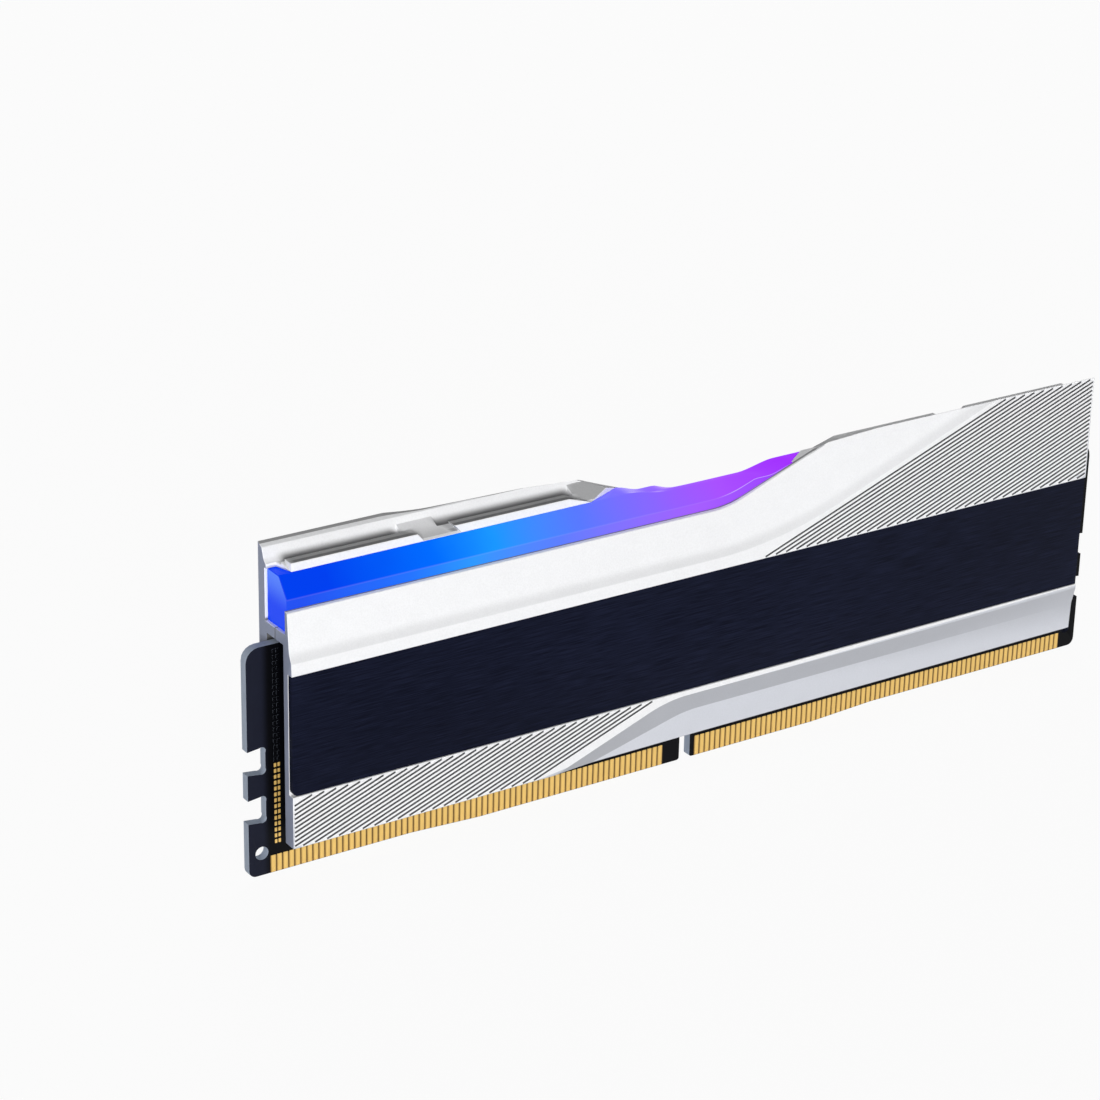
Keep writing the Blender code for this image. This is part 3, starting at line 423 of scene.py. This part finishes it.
def glowing_plastic(look):
    """A glow that turns from blue to purple along X, paler and further on down the upright walls, with a
    painted highlight glowing along the shoulder's crease.
    """
    f = Finish("glowing_plastic", roughness=0.22, base_color=(0.0, 0.002, 0.01), emission_strength=1.0,
               specular_ior_level=0.05)
    x, _, z = f.parts(f.place())
    nx, _, nz = f.normal()
    wall = 1.0 - f.fade(abs(nz), 0.1, 0.5)
    cloud = f.noise(f.stretched([5 * MM] * 3))
    along = (x - LIGHT_LOW.x) / (LIGHT_HIGH.x - LIGHT_LOW.x) + 0.03 * wall + 0.02 * cloud - 0.01
    glow = f.node("ShaderNodeValToRGB", {"stops": (
        (0.05, look.start), (0.17, look.blue), (0.24, look.azure), (0.34, look.lilac),
        (0.51, look.violet), (0.62, look.purple))}, {"Fac": along})
    end = f.fade(abs(nx), 0.7, 0.95)
    high = f.fade(z, look.shoulder - 2.0 * MM, look.shoulder + 2.4 * MM)
    paler = f.mix(0.1 * wall * (1.0 - end) + 0.55 * end * high, glow, look.pale)
    # Painted highlight along the shoulder's crease, added to the glow
    shoulder_highlight = f.fade(nz, 0.1, 0.25) * (1.0 - f.fade(nz, 0.4, 0.55))
    shoulder_highlight = shoulder_highlight * (0.05 + 0.45 * f.fade(x, 0.0, 4 * MM) * (1.0 - f.fade(x, 9 * MM, 13 * MM)))
    f.set(emission_color=f.mix(shoulder_highlight, paler, look.shoulder_highlight))
    return f.material


SHADED_FROM = (-64.8 * MM, -63.6 * MM)
SHADED_RIM_FROM = (30 * MM, 40 * MM)


def solder_mask_and_shade(look):
    """Dark satin lacquer with painted shade: its faces nearly black from just before the plates' left end on;
    the cut edges are pale at the left and painted dark as shade towards the right.
    """
    f = Finish("solder_mask_and_shade", specular_ior_level=0.08)
    cloud = f.noise(f.stretched([3.0 * MM, 1.0, 3.0 * MM]), detail=3.0)
    weave = f.noise(f.stretched([0.3 * MM] * 3), detail=1.0)
    x = f.parts(f.place())[0]
    _, facing, _ = f.normal()
    flat = f.fade(abs(facing), 0.45, 0.85)
    # Painted shade: the board's faces darkened where the plates' shadow falls, from just before their left
    # end
    shade = f.fade(x, *SHADED_FROM)
    layers = f.noise(f.stretched([2 * MM, 0.22 * MM, 2 * MM]))
    rim = f.mix(layers, tuple(0.72 * c for c in look.rim), look.rim)
    # Painted shade: the cut edges turn to the dark mask colour towards the right
    rim = f.mix(f.fade(x, *SHADED_RIM_FROM), rim, look.mask)
    face = f.mix(cloud, tuple(0.7 * c for c in look.mask), look.mask)
    face = f.mix(0.9 * shade, face, (0.0, 0.0, 0.0))
    f.set(base_color=f.mix(flat, rim, face), roughness=0.5 - 0.1 * flat + 0.1 * weave,
          normal=f.bump(weave, 0.004 * MM, 0.5))
    return f.material


def plated_gold_and_shade(look):
    """Cloudy gold with painted shade: darker on faces that lean along X, the contacts' sides."""
    f = Finish("plated_gold_and_shade", metallic=0.35)
    cloud = f.noise(f.stretched([0.5 * MM, 0.5 * MM, 1.6 * MM]), detail=3.0)
    # Painted shade on the contacts' sides, which lean along X
    side_shade = f.fade(abs(f.normal()[0]), 0.04, 0.3)
    gold = f.mix(cloud, tuple(0.82 * c for c in look.gold), look.gold)
    f.set(base_color=f.mix(0.6 * side_shade, gold, look.gap), roughness=0.3 + 0.15 * cloud)
    return f.material


def dark_gold(look):
    f = Finish("dark_gold", metallic=0.4)
    cloud = f.noise(f.stretched([0.4 * MM] * 3))
    f.set(base_color=f.mix(cloud, tuple(0.7 * c for c in look.gap), look.gap), roughness=0.5 + 0.2 * cloud)
    return f.material


def speckled(name, colour, size, roughness, depth=0.0, metallic=0.0):
    """A plain finish with fine specks in its colour, gloss and surface."""
    f = Finish(name, metallic=metallic)
    specks = f.noise(f.stretched([size] * 3), detail=3.0)
    f.set(base_color=f.mix(specks, tuple(0.75 * c for c in colour), colour),
          roughness=roughness - 0.08 + 0.16 * specks)
    if depth:
        f.set(normal=f.bump(specks, depth, 0.6))
    return f.material


SHADOW_SHARE = 0.06


def stage_white(look):
    """White to the camera, mirrors and glass but for a share that keeps the shadow, plainly lit otherwise."""
    f = Finish("stage_white", base_color=look.white, roughness=0.9, specular_ior_level=0.0)
    camera, glossy, transmitted = (f.node("ShaderNodeLightPath", output=f"Is {kind} Ray")
                                   for kind in ("Camera", "Glossy", "Transmission"))
    seen = camera.top(glossy).top(transmitted)
    glow = f.node("ShaderNodeEmission", None, {"Color": (1.0, 1.0, 1.0), "Strength": 1.0})
    lit = Value(f.tree, f.shader.outputs[0])
    both = f.node("ShaderNodeMixShader", None, {0: (1.0 - SHADOW_SHARE) * seen, 1: lit, 2: glow})
    f.tree.links.new(both.socket, f.tree.nodes["Material Output"].inputs["Surface"])
    return f.material


# Surfaces

class Shape:
    """Points and faces gathered from several surfaces, each with its material's number."""

    def __init__(self):
        self.points = []
        self.faces = []
        self.finishes = []
        self.count = 0

    def add_tubes(self, rings, finish=0):
        """Adds closed tubes: rings is (copies, levels, around, 3), with a flat face at both ends."""
        copies, levels, around, _ = rings.shape
        index = self.count + np.arange(copies * levels * around).reshape(copies, levels, around)
        near = index[:, :-1]
        far = index[:, 1:]
        quads = np.stack([near, np.roll(near, -1, 2), np.roll(far, -1, 2), far], axis=-1)
        faces = quads.reshape(-1, 4).tolist() + index[:, 0, ::-1].tolist() + index[:, -1].tolist()
        self.points.append(rings.reshape(-1, 3))
        self.faces += faces
        self.finishes += [finish] * len(faces)
        self.count += index.size
        return self


def blocks(centres, sizes, corners, profile, seat, side):
    """Rounded blocks that stand on a plane across Y, as (copies, levels, around, 3) rings.

    Each ring is a rectangle in X and Z whose corners are quarter circles, drawn in by the profile's
    inset at the profile's height over the seat. The corners' radii run counter-clockwise from the
    upper right one, and side is -1 for the front of the board and 1 for its rear.
    """
    centres = np.atleast_2d(centres).astype(float)
    halves = np.broadcast_to(sizes, centres.shape) / 2
    inset, height = np.asarray(profile, float).T
    radii = np.maximum(np.broadcast_to(corners, 4), inset.max())
    signs = np.array([(1, 1), (-1, 1), (-1, -1), (1, -1)])
    turns = np.arange(4)[:, None] * math.pi / 2 + np.linspace(0, math.pi / 2, CORNER_STEPS + 1)
    spokes = np.stack([np.cos(turns), np.sin(turns)], axis=-1)
    pivots = signs * (halves[:, None] - radii[:, None])
    reach = radii[None, :] - inset[:, None]
    flat = pivots[:, None, :, None] + reach[None, :, :, None, None] * spokes[None, None]
    flat = flat.reshape(len(centres), len(inset), -1, 2) + centres[:, None, None]
    depth = np.broadcast_to(side * (seat + height)[None, :, None], flat.shape[:-1])
    return np.stack([flat[..., 0], depth, flat[..., 1]], axis=-1)


def rounded_rise(height, edge, start=0.0):
    """A block's (inset, height) profile: upright, then a quarter circle of the edge's radius."""
    turns = np.linspace(0, math.pi / 2, 4)
    curve = np.stack([edge * (1 - np.cos(turns)), height - edge + edge * np.sin(turns)], axis=1)
    return np.vstack([(0, start), curve])


def soften(corners, reach, steps):
    """Closed outlines (..., corners, 2) with each corner drawn as a curve.

    The curve leaves both sides at the reach, or before their middle, and is pulled to the corner:
    (1 - t)^2 first + 2 t (1 - t) corner + t^2 last.
    """
    def leave(shift):
        side = np.roll(corners, shift, axis=-2) - corners
        length = np.linalg.norm(side, axis=-1)
        return corners + side * np.minimum(reach / length, 0.48)[..., None]

    t = np.linspace(0, 1, steps)[:, None]
    first = leave(1)[..., None, :]
    last = leave(-1)[..., None, :]
    curve = (1 - t) ** 2 * first + 2 * t * (1 - t) * corners[..., None, :] + t ** 2 * last
    return curve.reshape(*corners.shape[:-2], -1, 2)


def add_mesh(name, mesh, materials, nodes):
    """Links a finished mesh as a piece that rides on the module and stands for its nodes."""
    for material in materials:
        mesh.materials.append(material)
    obj = bpy.data.objects.new(name, mesh)
    bpy.context.scene.collection.objects.link(obj)
    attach(obj, BODY)
    if nodes:
        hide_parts(*nodes)
    return obj


def add_shape(name, shape, materials, nodes=(), angle=SHARP_ANGLE):
    """Makes a piece from a shape, smooth but for edges sharper than the angle."""
    mesh = bpy.data.meshes.new(name)
    mesh.from_pydata(np.concatenate(shape.points).tolist(), [], shape.faces)
    mesh.polygons.foreach_set("material_index", shape.finishes)
    bm = bmesh.new()
    bm.from_mesh(mesh)
    bmesh.ops.recalc_face_normals(bm, faces=bm.faces)
    bm.to_mesh(mesh)
    bm.free()
    mesh.shade_smooth()
    mesh.set_sharp_from_angle(angle=angle)
    return add_mesh(name, mesh, materials, nodes)


def whole_faces(node):
    """A bmesh of a solid with its triangles merged into the largest flat convex faces."""
    bm = bmesh.new()
    bm.from_mesh(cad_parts[node].data)
    bmesh.ops.remove_doubles(bm, verts=bm.verts, dist=MERGE_DISTANCE)
    bmesh.ops.dissolve_limit(bm, angle_limit=FLAT_ANGLE, verts=bm.verts, edges=bm.edges)
    bmesh.ops.connect_verts_concave(bm, faces=bm.faces)
    return bm


def face_width(face):
    """A face's breadth: the middle one of its extents along the axes."""
    points = np.array([vert.co for vert in face.verts])
    return np.sort(np.ptp(points, axis=0))[1]


def add_softened(node, bm, weight, width, materials):
    """Makes a piece from a solid's whole faces, its sharp edges rounded by width times their weight.

    Creases too flat to be rounded stay crisp between faces that look away from the module's middle.
    """
    layer = bm.edges.layers.float.new("bevel_weight_edge")
    for edge in bm.edges:
        angle = edge.calc_face_angle(0)
        if angle > SHARP_ANGLE:
            narrow = min(face_width(face) for face in edge.link_faces)
            edge[layer] = min(weight(edge), BEVEL_SHARE * narrow / width)
        elif angle > CREASE_ANGLE:
            side = edge.verts[0].co.y - AXIS_Y
            edge.smooth = not any(face.normal.y * side > OUTWARD * abs(side) for face in edge.link_faces)
    mesh = bpy.data.meshes.new(f"finished_{node}")
    bm.to_mesh(mesh)
    bm.free()
    mesh.shade_smooth()
    obj = add_mesh(f"finished_{node}", mesh, materials, [node])
    bevel = obj.modifiers.new("rounded edges", "BEVEL")
    bevel.width = width
    bevel.segments = 2
    bevel.limit_method = "WEIGHT"
    bevel.use_clamp_overlap = False
    normals = obj.modifiers.new("flat faces stay flat", "WEIGHTED_NORMAL")
    normals.mode = "FACE_AREA"
    normals.weight = 100
    normals.keep_sharp = True
    return obj


# Operators

class ModuleOperator(bpy.types.Operator):
    """Common to the operators that dress the module."""

    bl_options = {"REGISTER", "UNDO"}

    def execute(self, context):
        self.build(context.scene.memory_module)
        return {"FINISHED"}


class DressPlates(ModuleOperator):
    """Round the heat spreaders' edges and give them their sandblasted finish with painted shade, and dark
    stripes
    """

    bl_idname = "memory_module.plates"
    bl_label = "Heat spreaders"

    def build(self, look):
        materials = [sandblasted_silver(look.plate), etched_groove(look.plate)]
        across = np.array([-math.sin(SLANT), 0, math.cos(SLANT)])
        for node, turn in (("front_heat_spreader", 1), ("rear_heat_spreader", -1)):
            bm = whole_faces(node)
            outer = FRONT_FACE if turn == 1 else REAR_FACE
            slanted = across * (turn, 1, 1)
            for face in bm.faces:
                depth = turn * (face.calc_center_median().y - outer)
                in_stripe = 0 < depth < look.plate.stripe_depth
                face.material_index = int(in_stripe and abs(np.dot(face.normal, slanted)) > 0.5)

            def weight(edge):
                if any(face.material_index for face in edge.link_faces):
                    return look.plate.groove_edge / look.plate.edge
                return min(1.0, edge.calc_length() / (3 * look.plate.edge))

            add_softened(node, bm, weight, look.plate.edge, materials)


class DressStrips(ModuleOperator):
    """Make the dark brushed strips in the plates' bands and the glue behind them"""

    bl_idname = "memory_module.strips"
    bl_label = "Dark strips"

    GLUE_EDGE = 0.02 * MM
    FRONT_CORNER, REAR_CORNER = 2, 3

    def build(self, look):
        kinds = (("inlay", brushed_black(look.strip), "inlay_black", look.strip.edge, look.strip.proud),
                 ("inlay_glue", clear_glue(look.strip), "inlay_glue", self.GLUE_EDGE, 0.0))
        for face, side, round_one in (("front", -1, self.FRONT_CORNER), ("rear", 1, self.REAR_CORNER)):
            for kind, material, slot, edge, proud in kinds:
                node = f"{face}_{kind}"
                low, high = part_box(node)
                seat = min(abs(low.y), abs(high.y))
                centre = ((low.x + high.x) / 2, (low.z + high.z) / 2)
                size = (high.x - low.x, high.z - low.z)
                profile = rounded_rise(high.y - low.y + proud, edge)
                corners = np.where(np.arange(4) == round_one, look.strip.corner, edge)
                rings = blocks(centre, size, corners, profile, seat, side)
                add_shape(f"finished_{node}", Shape().add_tubes(rings), [material], [node])


class DressLightBar(ModuleOperator):
    """Make the glowing bar between the plates, with rounded shoulders and a dip at its middle"""

    bl_idname = "memory_module.light_bar"
    bl_label = "Light bar"

    STATIONS = 221
    CURVE_POINTS = 7
    FOOT_SHARE = 0.25
    END_ROUNDING = 0.07 * MM
    LONG_DIP = (5.5 * MM, 11.3 * MM)
    SHORT_DIP = (8.5 * MM, 12.5 * MM)
    TONGUE_HALF = 0.5 * MM
    TONGUE_END = 6.0 * MM
    TONGUE_CORNER = 0.2 * MM
    SEAT_Z = 33.3 * MM

    def side(self, look, x):
        """Wall and crown heights of the side that is low at negative x.

        The crown dips between the two runs by a smooth step, and the wall climbs from the shoulder
        along a parabola and then the slant, up to the crown.
        """
        long_start, long_end = self.LONG_DIP
        short_start, short_end = self.SHORT_DIP
        start = np.where(x > 0, short_start, long_start)
        end = np.where(x > 0, short_end, long_end)
        ramp = np.clip((np.abs(x) - start) / (end - start), 0, 1)
        crown = LIGHT_HIGH.z - look.dip * (1 - ramp * ramp * (3 - 2 * ramp))
        run = look.turn_run
        past = np.clip(x - look.turn + run, 0, None)
        climb = math.tan(SLANT) * np.where(past < 2 * run, past ** 2 / (4 * run), past - run)
        return np.minimum(look.shoulder + climb, crown), crown

    def build(self, look):
        look = look.light
        end = LIGHT_HIGH.x - look.end_inset
        x = np.linspace(-end, end, self.STATIONS)
        front_wall, front_crown = self.side(look, x)
        rear_wall, rear_crown = self.side(look, -x)
        bottom = np.full_like(x, self.SEAT_Z)
        half = look.half_width
        top = look.crown_half
        across = np.array([-half, -half, -top, top, half, half]) + AXIS_Y
        heights = np.stack([bottom, front_wall, front_crown, rear_crown, rear_wall, bottom], axis=1)
        corners = np.stack([np.broadcast_to(across, heights.shape), heights], axis=-1)
        small = self.FOOT_SHARE * look.rounding
        reach = np.array([small, look.rounding, look.rounding, look.rounding, look.rounding, small])
        outlines = soften(corners, reach, self.CURVE_POINTS)
        x[[1, -2]] = x[0] + self.END_ROUNDING, x[-1] - self.END_ROUNDING
        for last in (0, -1):
            middle = outlines[last].mean(axis=0)
            away = outlines[last] - middle
            away *= 1 - self.END_ROUNDING / np.linalg.norm(away, axis=1)[:, None]
            outlines[last] = middle + away
        lengths = np.broadcast_to(x[:, None, None], (*outlines.shape[:2], 1))
        shape = Shape().add_tubes(np.concatenate([lengths, outlines], axis=-1)[None])
        tongue_x = LIGHT_HIGH.x - self.TONGUE_END
        tongue_z = (LIGHT_LOW.z + self.SEAT_Z) / 2
        rings = blocks(
            (0, tongue_z), (2 * tongue_x, self.SEAT_Z - LIGHT_LOW.z), self.TONGUE_CORNER,
            [(0, 0), (0, 2 * self.TONGUE_HALF)], AXIS_Y - self.TONGUE_HALF, 1)
        shape.add_tubes(rings)
        add_shape("finished_light_bar", shape, [glowing_plastic(look)], ["light_bar"])


class DressBoard(ModuleOperator):
    """Give the board its dark lacquer and pale cut edges, and add the pads by its left end"""

    bl_idname = "memory_module.board"
    bl_label = "Circuit board"

    PAD_X = -62.9 * MM
    PAD_SPACING = 0.5 * MM
    PAD_SIZE = (0.36 * MM, 0.52 * MM)
    PAD_PITCH = 0.8 * MM
    PAD_LOW_Z = 4.7 * MM
    PAD_CORNER = 0.06 * MM
    PAD_EDGE_SHARE = 0.8
    OPEN_HEIGHT = 0.035 * MM
    COVERED_HEIGHT = 0.012 * MM
    OPEN_ROWS = 14
    COVERED_ROWS = 19

    def build(self, look):
        mask = solder_mask_and_shade(look.board)
        bm = whole_faces("circuit_board")
        add_softened("circuit_board", bm, lambda edge: 1.0, look.board.edge, [mask])
        columns = self.PAD_X + self.PAD_SPACING * np.arange(2)
        heights = self.PAD_LOW_Z + self.PAD_PITCH * np.arange(self.OPEN_ROWS + self.COVERED_ROWS)
        centres = np.stack(np.meshgrid(columns, heights), axis=-1)
        gold = plated_gold_and_shade(look.board)
        for name, rows, height, material, slot in (
            ("open_test_pads", centres[:self.OPEN_ROWS], self.OPEN_HEIGHT, gold, "contact_gold"),
            ("covered_test_pads", centres[self.OPEN_ROWS:], self.COVERED_HEIGHT, mask, "board"),
        ):
            rise = rounded_rise(height, self.PAD_EDGE_SHARE * height)
            rings = blocks(rows.reshape(-1, 2), self.PAD_SIZE, self.PAD_CORNER, rise, -BOARD_FACE, -1)
            add_shape(name, Shape().add_tubes(rings), [material])


class DressContacts(ModuleOperator):
    """Make the gold fingers of both faces, on their darker base"""

    bl_idname = "memory_module.contacts"
    bl_label = "Gold contacts"

    EDGE_MARGIN = 0.08 * MM
    EDGE_RISE = 0.5 * MM
    RISE_LENGTH = 10.2 * MM
    LEFT_RISE_X = -33.5 * MM
    RIGHT_RISE_X = 19.8 * MM
    BASE = 0.025 * MM
    HEIGHT = 0.07 * MM
    ROUNDING = 0.1 * MM
    TIP_RADIUS = 0.1 * MM
    TIP_RISE = 0.4 * MM
    FOOT_RADIUS = 0.05 * MM

    def lower_edge(self, x):
        """The board's lower edge: level in the middle, a ramp each way, then level ends."""
        left = (self.LEFT_RISE_X - x) / self.RISE_LENGTH
        right = (x - self.RIGHT_RISE_X) / self.RISE_LENGTH
        return self.EDGE_RISE * np.clip(np.maximum(left, right), 0, 1)

    def build(self, look):
        materials = [plated_gold_and_shade(look.board), dark_gold(look.board)]
        profile = [(0, self.BASE), (0, 0.5 * self.HEIGHT), (self.ROUNDING / 2, 0.85 * self.HEIGHT),
                   (self.ROUNDING, self.HEIGHT)]
        tips = (self.TIP_RADIUS, self.TIP_RADIUS, self.FOOT_RADIUS, self.FOOT_RADIUS)
        pitch = look.board.pitch
        for face, side in (("front", -1), ("rear", 1)):
            for bank in ("left", "right"):
                node = f"contacts_{face}_{bank}"
                low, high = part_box(node)
                tip = high.z + self.TIP_RISE
                seat = min(abs(low.y), abs(high.y))
                count = round((high.x - low.x) / pitch)
                middle = (low.x + high.x) / 2
                x = middle + pitch * (np.arange(count) - (count - 1) / 2)
                foot = self.lower_edge(x) + self.EDGE_MARGIN
                centres = np.stack([x, (foot + tip) / 2], axis=1)
                sizes = np.stack([np.full(count, look.board.finger), tip - foot], axis=1)
                shape = Shape().add_tubes(blocks(centres, sizes, tips, profile, seat, side))
                base_sizes = np.stack([np.full(count, pitch), tip - foot - self.TIP_RADIUS], axis=1)
                base_centres = centres - (0, self.TIP_RADIUS / 2)
                rings = blocks(base_centres, base_sizes, 0.0, [(0, 0), (0, self.BASE)], seat, side)
                add_shape(f"finished_{node}", shape.add_tubes(rings, 1), materials, [node])


class DressSmallParts(ModuleOperator):
    """Make the chips, coils, capacitors, resistors, lamps and heat pads between board and plates"""

    bl_idname = "memory_module.small_parts"
    bl_label = "Small parts"

    MARK_RADIUS = 0.35 * MM
    MARK_RISE = 0.008 * MM
    MARK_INSET = 1.0 * MM
    CAP_SHARE = 0.24

    def rings_of(self, node, edge, corner, side=-1):
        """A rounded block that fills the node's box, with its measures."""
        low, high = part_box(node)
        seat = min(abs(low.y), abs(high.y))
        centre = np.array([(low.x + high.x) / 2, (low.z + high.z) / 2])
        size = np.array([high.x - low.x, high.z - low.z])
        rise = high.y - low.y
        return blocks(centre, size, corner, rounded_rise(rise, edge), seat, side), centre, size, seat, rise

    def build(self, look):
        small = look.small
        edge = small.edge
        chip = speckled("moulded_chip", small.chip, 0.12 * MM, 0.55, 0.004 * MM)
        mark = speckled("moulded_mark", tuple(3 * c for c in small.chip), 0.1 * MM, 0.4)
        tin = speckled("tinned_end", small.tin, 0.2 * MM, 0.3, metallic=0.8)
        ferrite = speckled("pressed_ferrite", small.ferrite, 0.15 * MM, 0.6, 0.006 * MM)
        ceramic = speckled("fired_ceramic", small.ceramic, 0.2 * MM, 0.4)
        lamp = speckled("lamp_body", small.lamp, 0.3 * MM, 0.3)
        pad = speckled("soft_pad", small.pad, 0.35 * MM, 0.85, 0.02 * MM)
        for node in sorted(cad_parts):
            if node.startswith("memory_chip") or node.endswith("_chip") or node.startswith("resistor"):
                rings, centre, size, seat, rise = self.rings_of(node, edge, edge)
                shape = Shape().add_tubes(rings)
                corner = centre + (size / 2 - self.MARK_INSET * size.min() / 3) * (-1, 1)
                radius = min(self.MARK_RADIUS, 0.1 * size.min())
                profile = [(0, 0), (0.2 * radius, self.MARK_RISE)]
                dot = blocks(corner, 2 * radius, radius, profile, seat + rise, -1)
                add_shape(f"finished_{node}", shape.add_tubes(dot, 1), [chip, mark], [node])
            elif node.startswith("inductor"):
                rings = self.rings_of(node, 2 * edge, 3 * edge)[0]
                add_shape(f"finished_{node}", Shape().add_tubes(rings), [ferrite], [node])
            elif node.startswith("capacitor"):
                _, centre, size, seat, rise = self.rings_of(node, edge, edge)
                ends = centre + np.array([(-1, 0), (1, 0)]) * size * (1 - self.CAP_SHARE) / 2
                caps = blocks(ends, size * (self.CAP_SHARE, 1), edge, rounded_rise(rise, edge), seat, -1)
                inner = blocks(centre, size * (1 - 2 * self.CAP_SHARE, 0.92), edge,
                               rounded_rise(0.96 * rise, edge), seat, -1)
                add_shape(f"finished_{node}", Shape().add_tubes(caps).add_tubes(inner, 1),
                          [tin, ceramic], [node])
            elif node.startswith("lamp"):
                rings = self.rings_of(node, edge, 2 * edge)[0]
                add_shape(f"finished_{node}", Shape().add_tubes(rings), [lamp], [node])
            elif node.endswith("_pad") or node.startswith("chip_pad"):
                side = 1 if node == "rear_pad" else -1
                rings = self.rings_of(node, 3 * edge, 6 * edge, side)[0]
                add_shape(f"finished_{node}", Shape().add_tubes(rings), [pad], [node])


class BuildStage(ModuleOperator):
    """Make the pale floor with its round backdrop, the lamps and the camera"""

    bl_idname = "memory_module.stage"
    bl_label = "Stage"

    FLOOR_RADIUS = 2.4
    SWEEP_RADIUS = 0.5
    WALL_TOP = 0.9
    ROUND_STEPS = 96
    BEND_STEPS = 13
    FLOOR_RINGS = (0.01, *np.linspace(0.2, FLOOR_RADIUS, 8))
    FRONT_LAMP = (-0.75, -1.25, 0.22)
    REAR_LAMP = (0.75, 1.25, 0.22)
    LAMP_SIZE = 0.9
    AIM = (0.0, 0.0, 22 * MM)

    def sweep(self):
        """A turned sheet: a level floor, a quarter circle, then a wall, as a grid of radius and turn."""
        bend = np.linspace(0, math.pi / 2, self.BEND_STEPS)[1:]
        radius = np.concatenate([self.FLOOR_RINGS, self.FLOOR_RADIUS + self.SWEEP_RADIUS * np.sin(bend),
                                 [self.FLOOR_RADIUS + self.SWEEP_RADIUS]])
        level = np.zeros(len(self.FLOOR_RINGS))
        height = np.concatenate([level, self.SWEEP_RADIUS * (1 - np.cos(bend)), [self.WALL_TOP]])
        turns = np.linspace(0, 2 * math.pi, self.ROUND_STEPS, endpoint=False)
        points = np.stack([radius[:, None] * np.cos(turns), radius[:, None] * np.sin(turns),
                           np.broadcast_to(height[:, None], (len(radius), len(turns)))], axis=-1)
        index = np.arange(points.shape[0] * points.shape[1]).reshape(points.shape[:2])
        near = index[:-1]
        far = index[1:]
        quads = np.stack([near, far, np.roll(far, -1, 1), np.roll(near, -1, 1)], axis=-1)
        return points.reshape(-1, 3), quads.reshape(-1, 4).tolist() + [index[0].tolist()]

    def lamp(self, name, place, power, mirrored):
        light = bpy.data.lights.new(name, "AREA")
        light.size = self.LAMP_SIZE
        light.energy = power
        obj = bpy.data.objects.new(name, light)
        obj.location = place
        aim = bpy.data.objects.new(f"{name}_aim", None)
        aim.location = self.AIM
        track = obj.constraints.new("TRACK_TO")
        track.target = aim
        obj.visible_camera = False
        obj.visible_glossy = mirrored
        for item in (obj, aim):
            bpy.context.scene.collection.objects.link(item)

    def build(self, look):
        stage = look.stage
        scene = bpy.context.scene
        scene.view_settings.view_transform = "Standard"
        mesh = bpy.data.meshes.new("floor_and_backdrop")
        points, faces = self.sweep()
        mesh.from_pydata(points.tolist(), [], faces)
        mesh.shade_smooth()
        mesh.materials.append(stage_white(stage))
        floor = bpy.data.objects.new("floor_and_backdrop", mesh)
        scene.collection.objects.link(floor)
        self.lamp("front_lamp", self.FRONT_LAMP, stage.front_power, True)
        self.lamp("rear_lamp", self.REAR_LAMP, stage.rear_power, False)
        world = bpy.data.worlds.new("studio")
        world.use_nodes = True
        sky = world.node_tree.nodes["Background"].inputs
        sky["Color"].default_value = (1, 1, 1, 1)
        sky["Strength"].default_value = stage.ambient
        scene.world = world
        camera = bpy.data.cameras.new("camera")
        camera.lens = stage.camera_lens
        camera.sensor_width = 36.0
        camera.clip_start = 0.01
        obj = bpy.data.objects.new("camera", camera)
        obj.location = stage.camera_place
        obj.rotation_euler = stage.camera_turn
        scene.collection.objects.link(obj)
        scene.camera = obj


OPERATORS = (
    DressPlates, DressStrips, DressLightBar, DressBoard, DressContacts, DressSmallParts, BuildStage)


class ModulePanel(bpy.types.Panel):
    """Lists the operators that dress the module"""

    bl_idname = "VIEW3D_PT_memory_module"
    bl_label = "Memory Module"
    bl_space_type = "VIEW_3D"
    bl_region_type = "UI"
    bl_category = "Memory Module"

    def draw(self, context):
        for operator in OPERATORS:
            self.layout.operator(operator.bl_idname)


CLASSES = (
    PlateLook, StripLook, LightLook, BoardLook, SmallPartLook, StageLook, ModuleLook,
    *OPERATORS, ModulePanel)


def register():
    for cls in CLASSES:
        bpy.utils.register_class(cls)
    bpy.types.Scene.memory_module = PointerProperty(type=ModuleLook)


def unregister():
    del bpy.types.Scene.memory_module
    for cls in reversed(CLASSES):
        bpy.utils.unregister_class(cls)


def main():
    register()
    for operator in OPERATORS:
        group, name = operator.bl_idname.split(".")
        getattr(getattr(bpy.ops, group), name)()


if __name__ == "__main__":
    main()
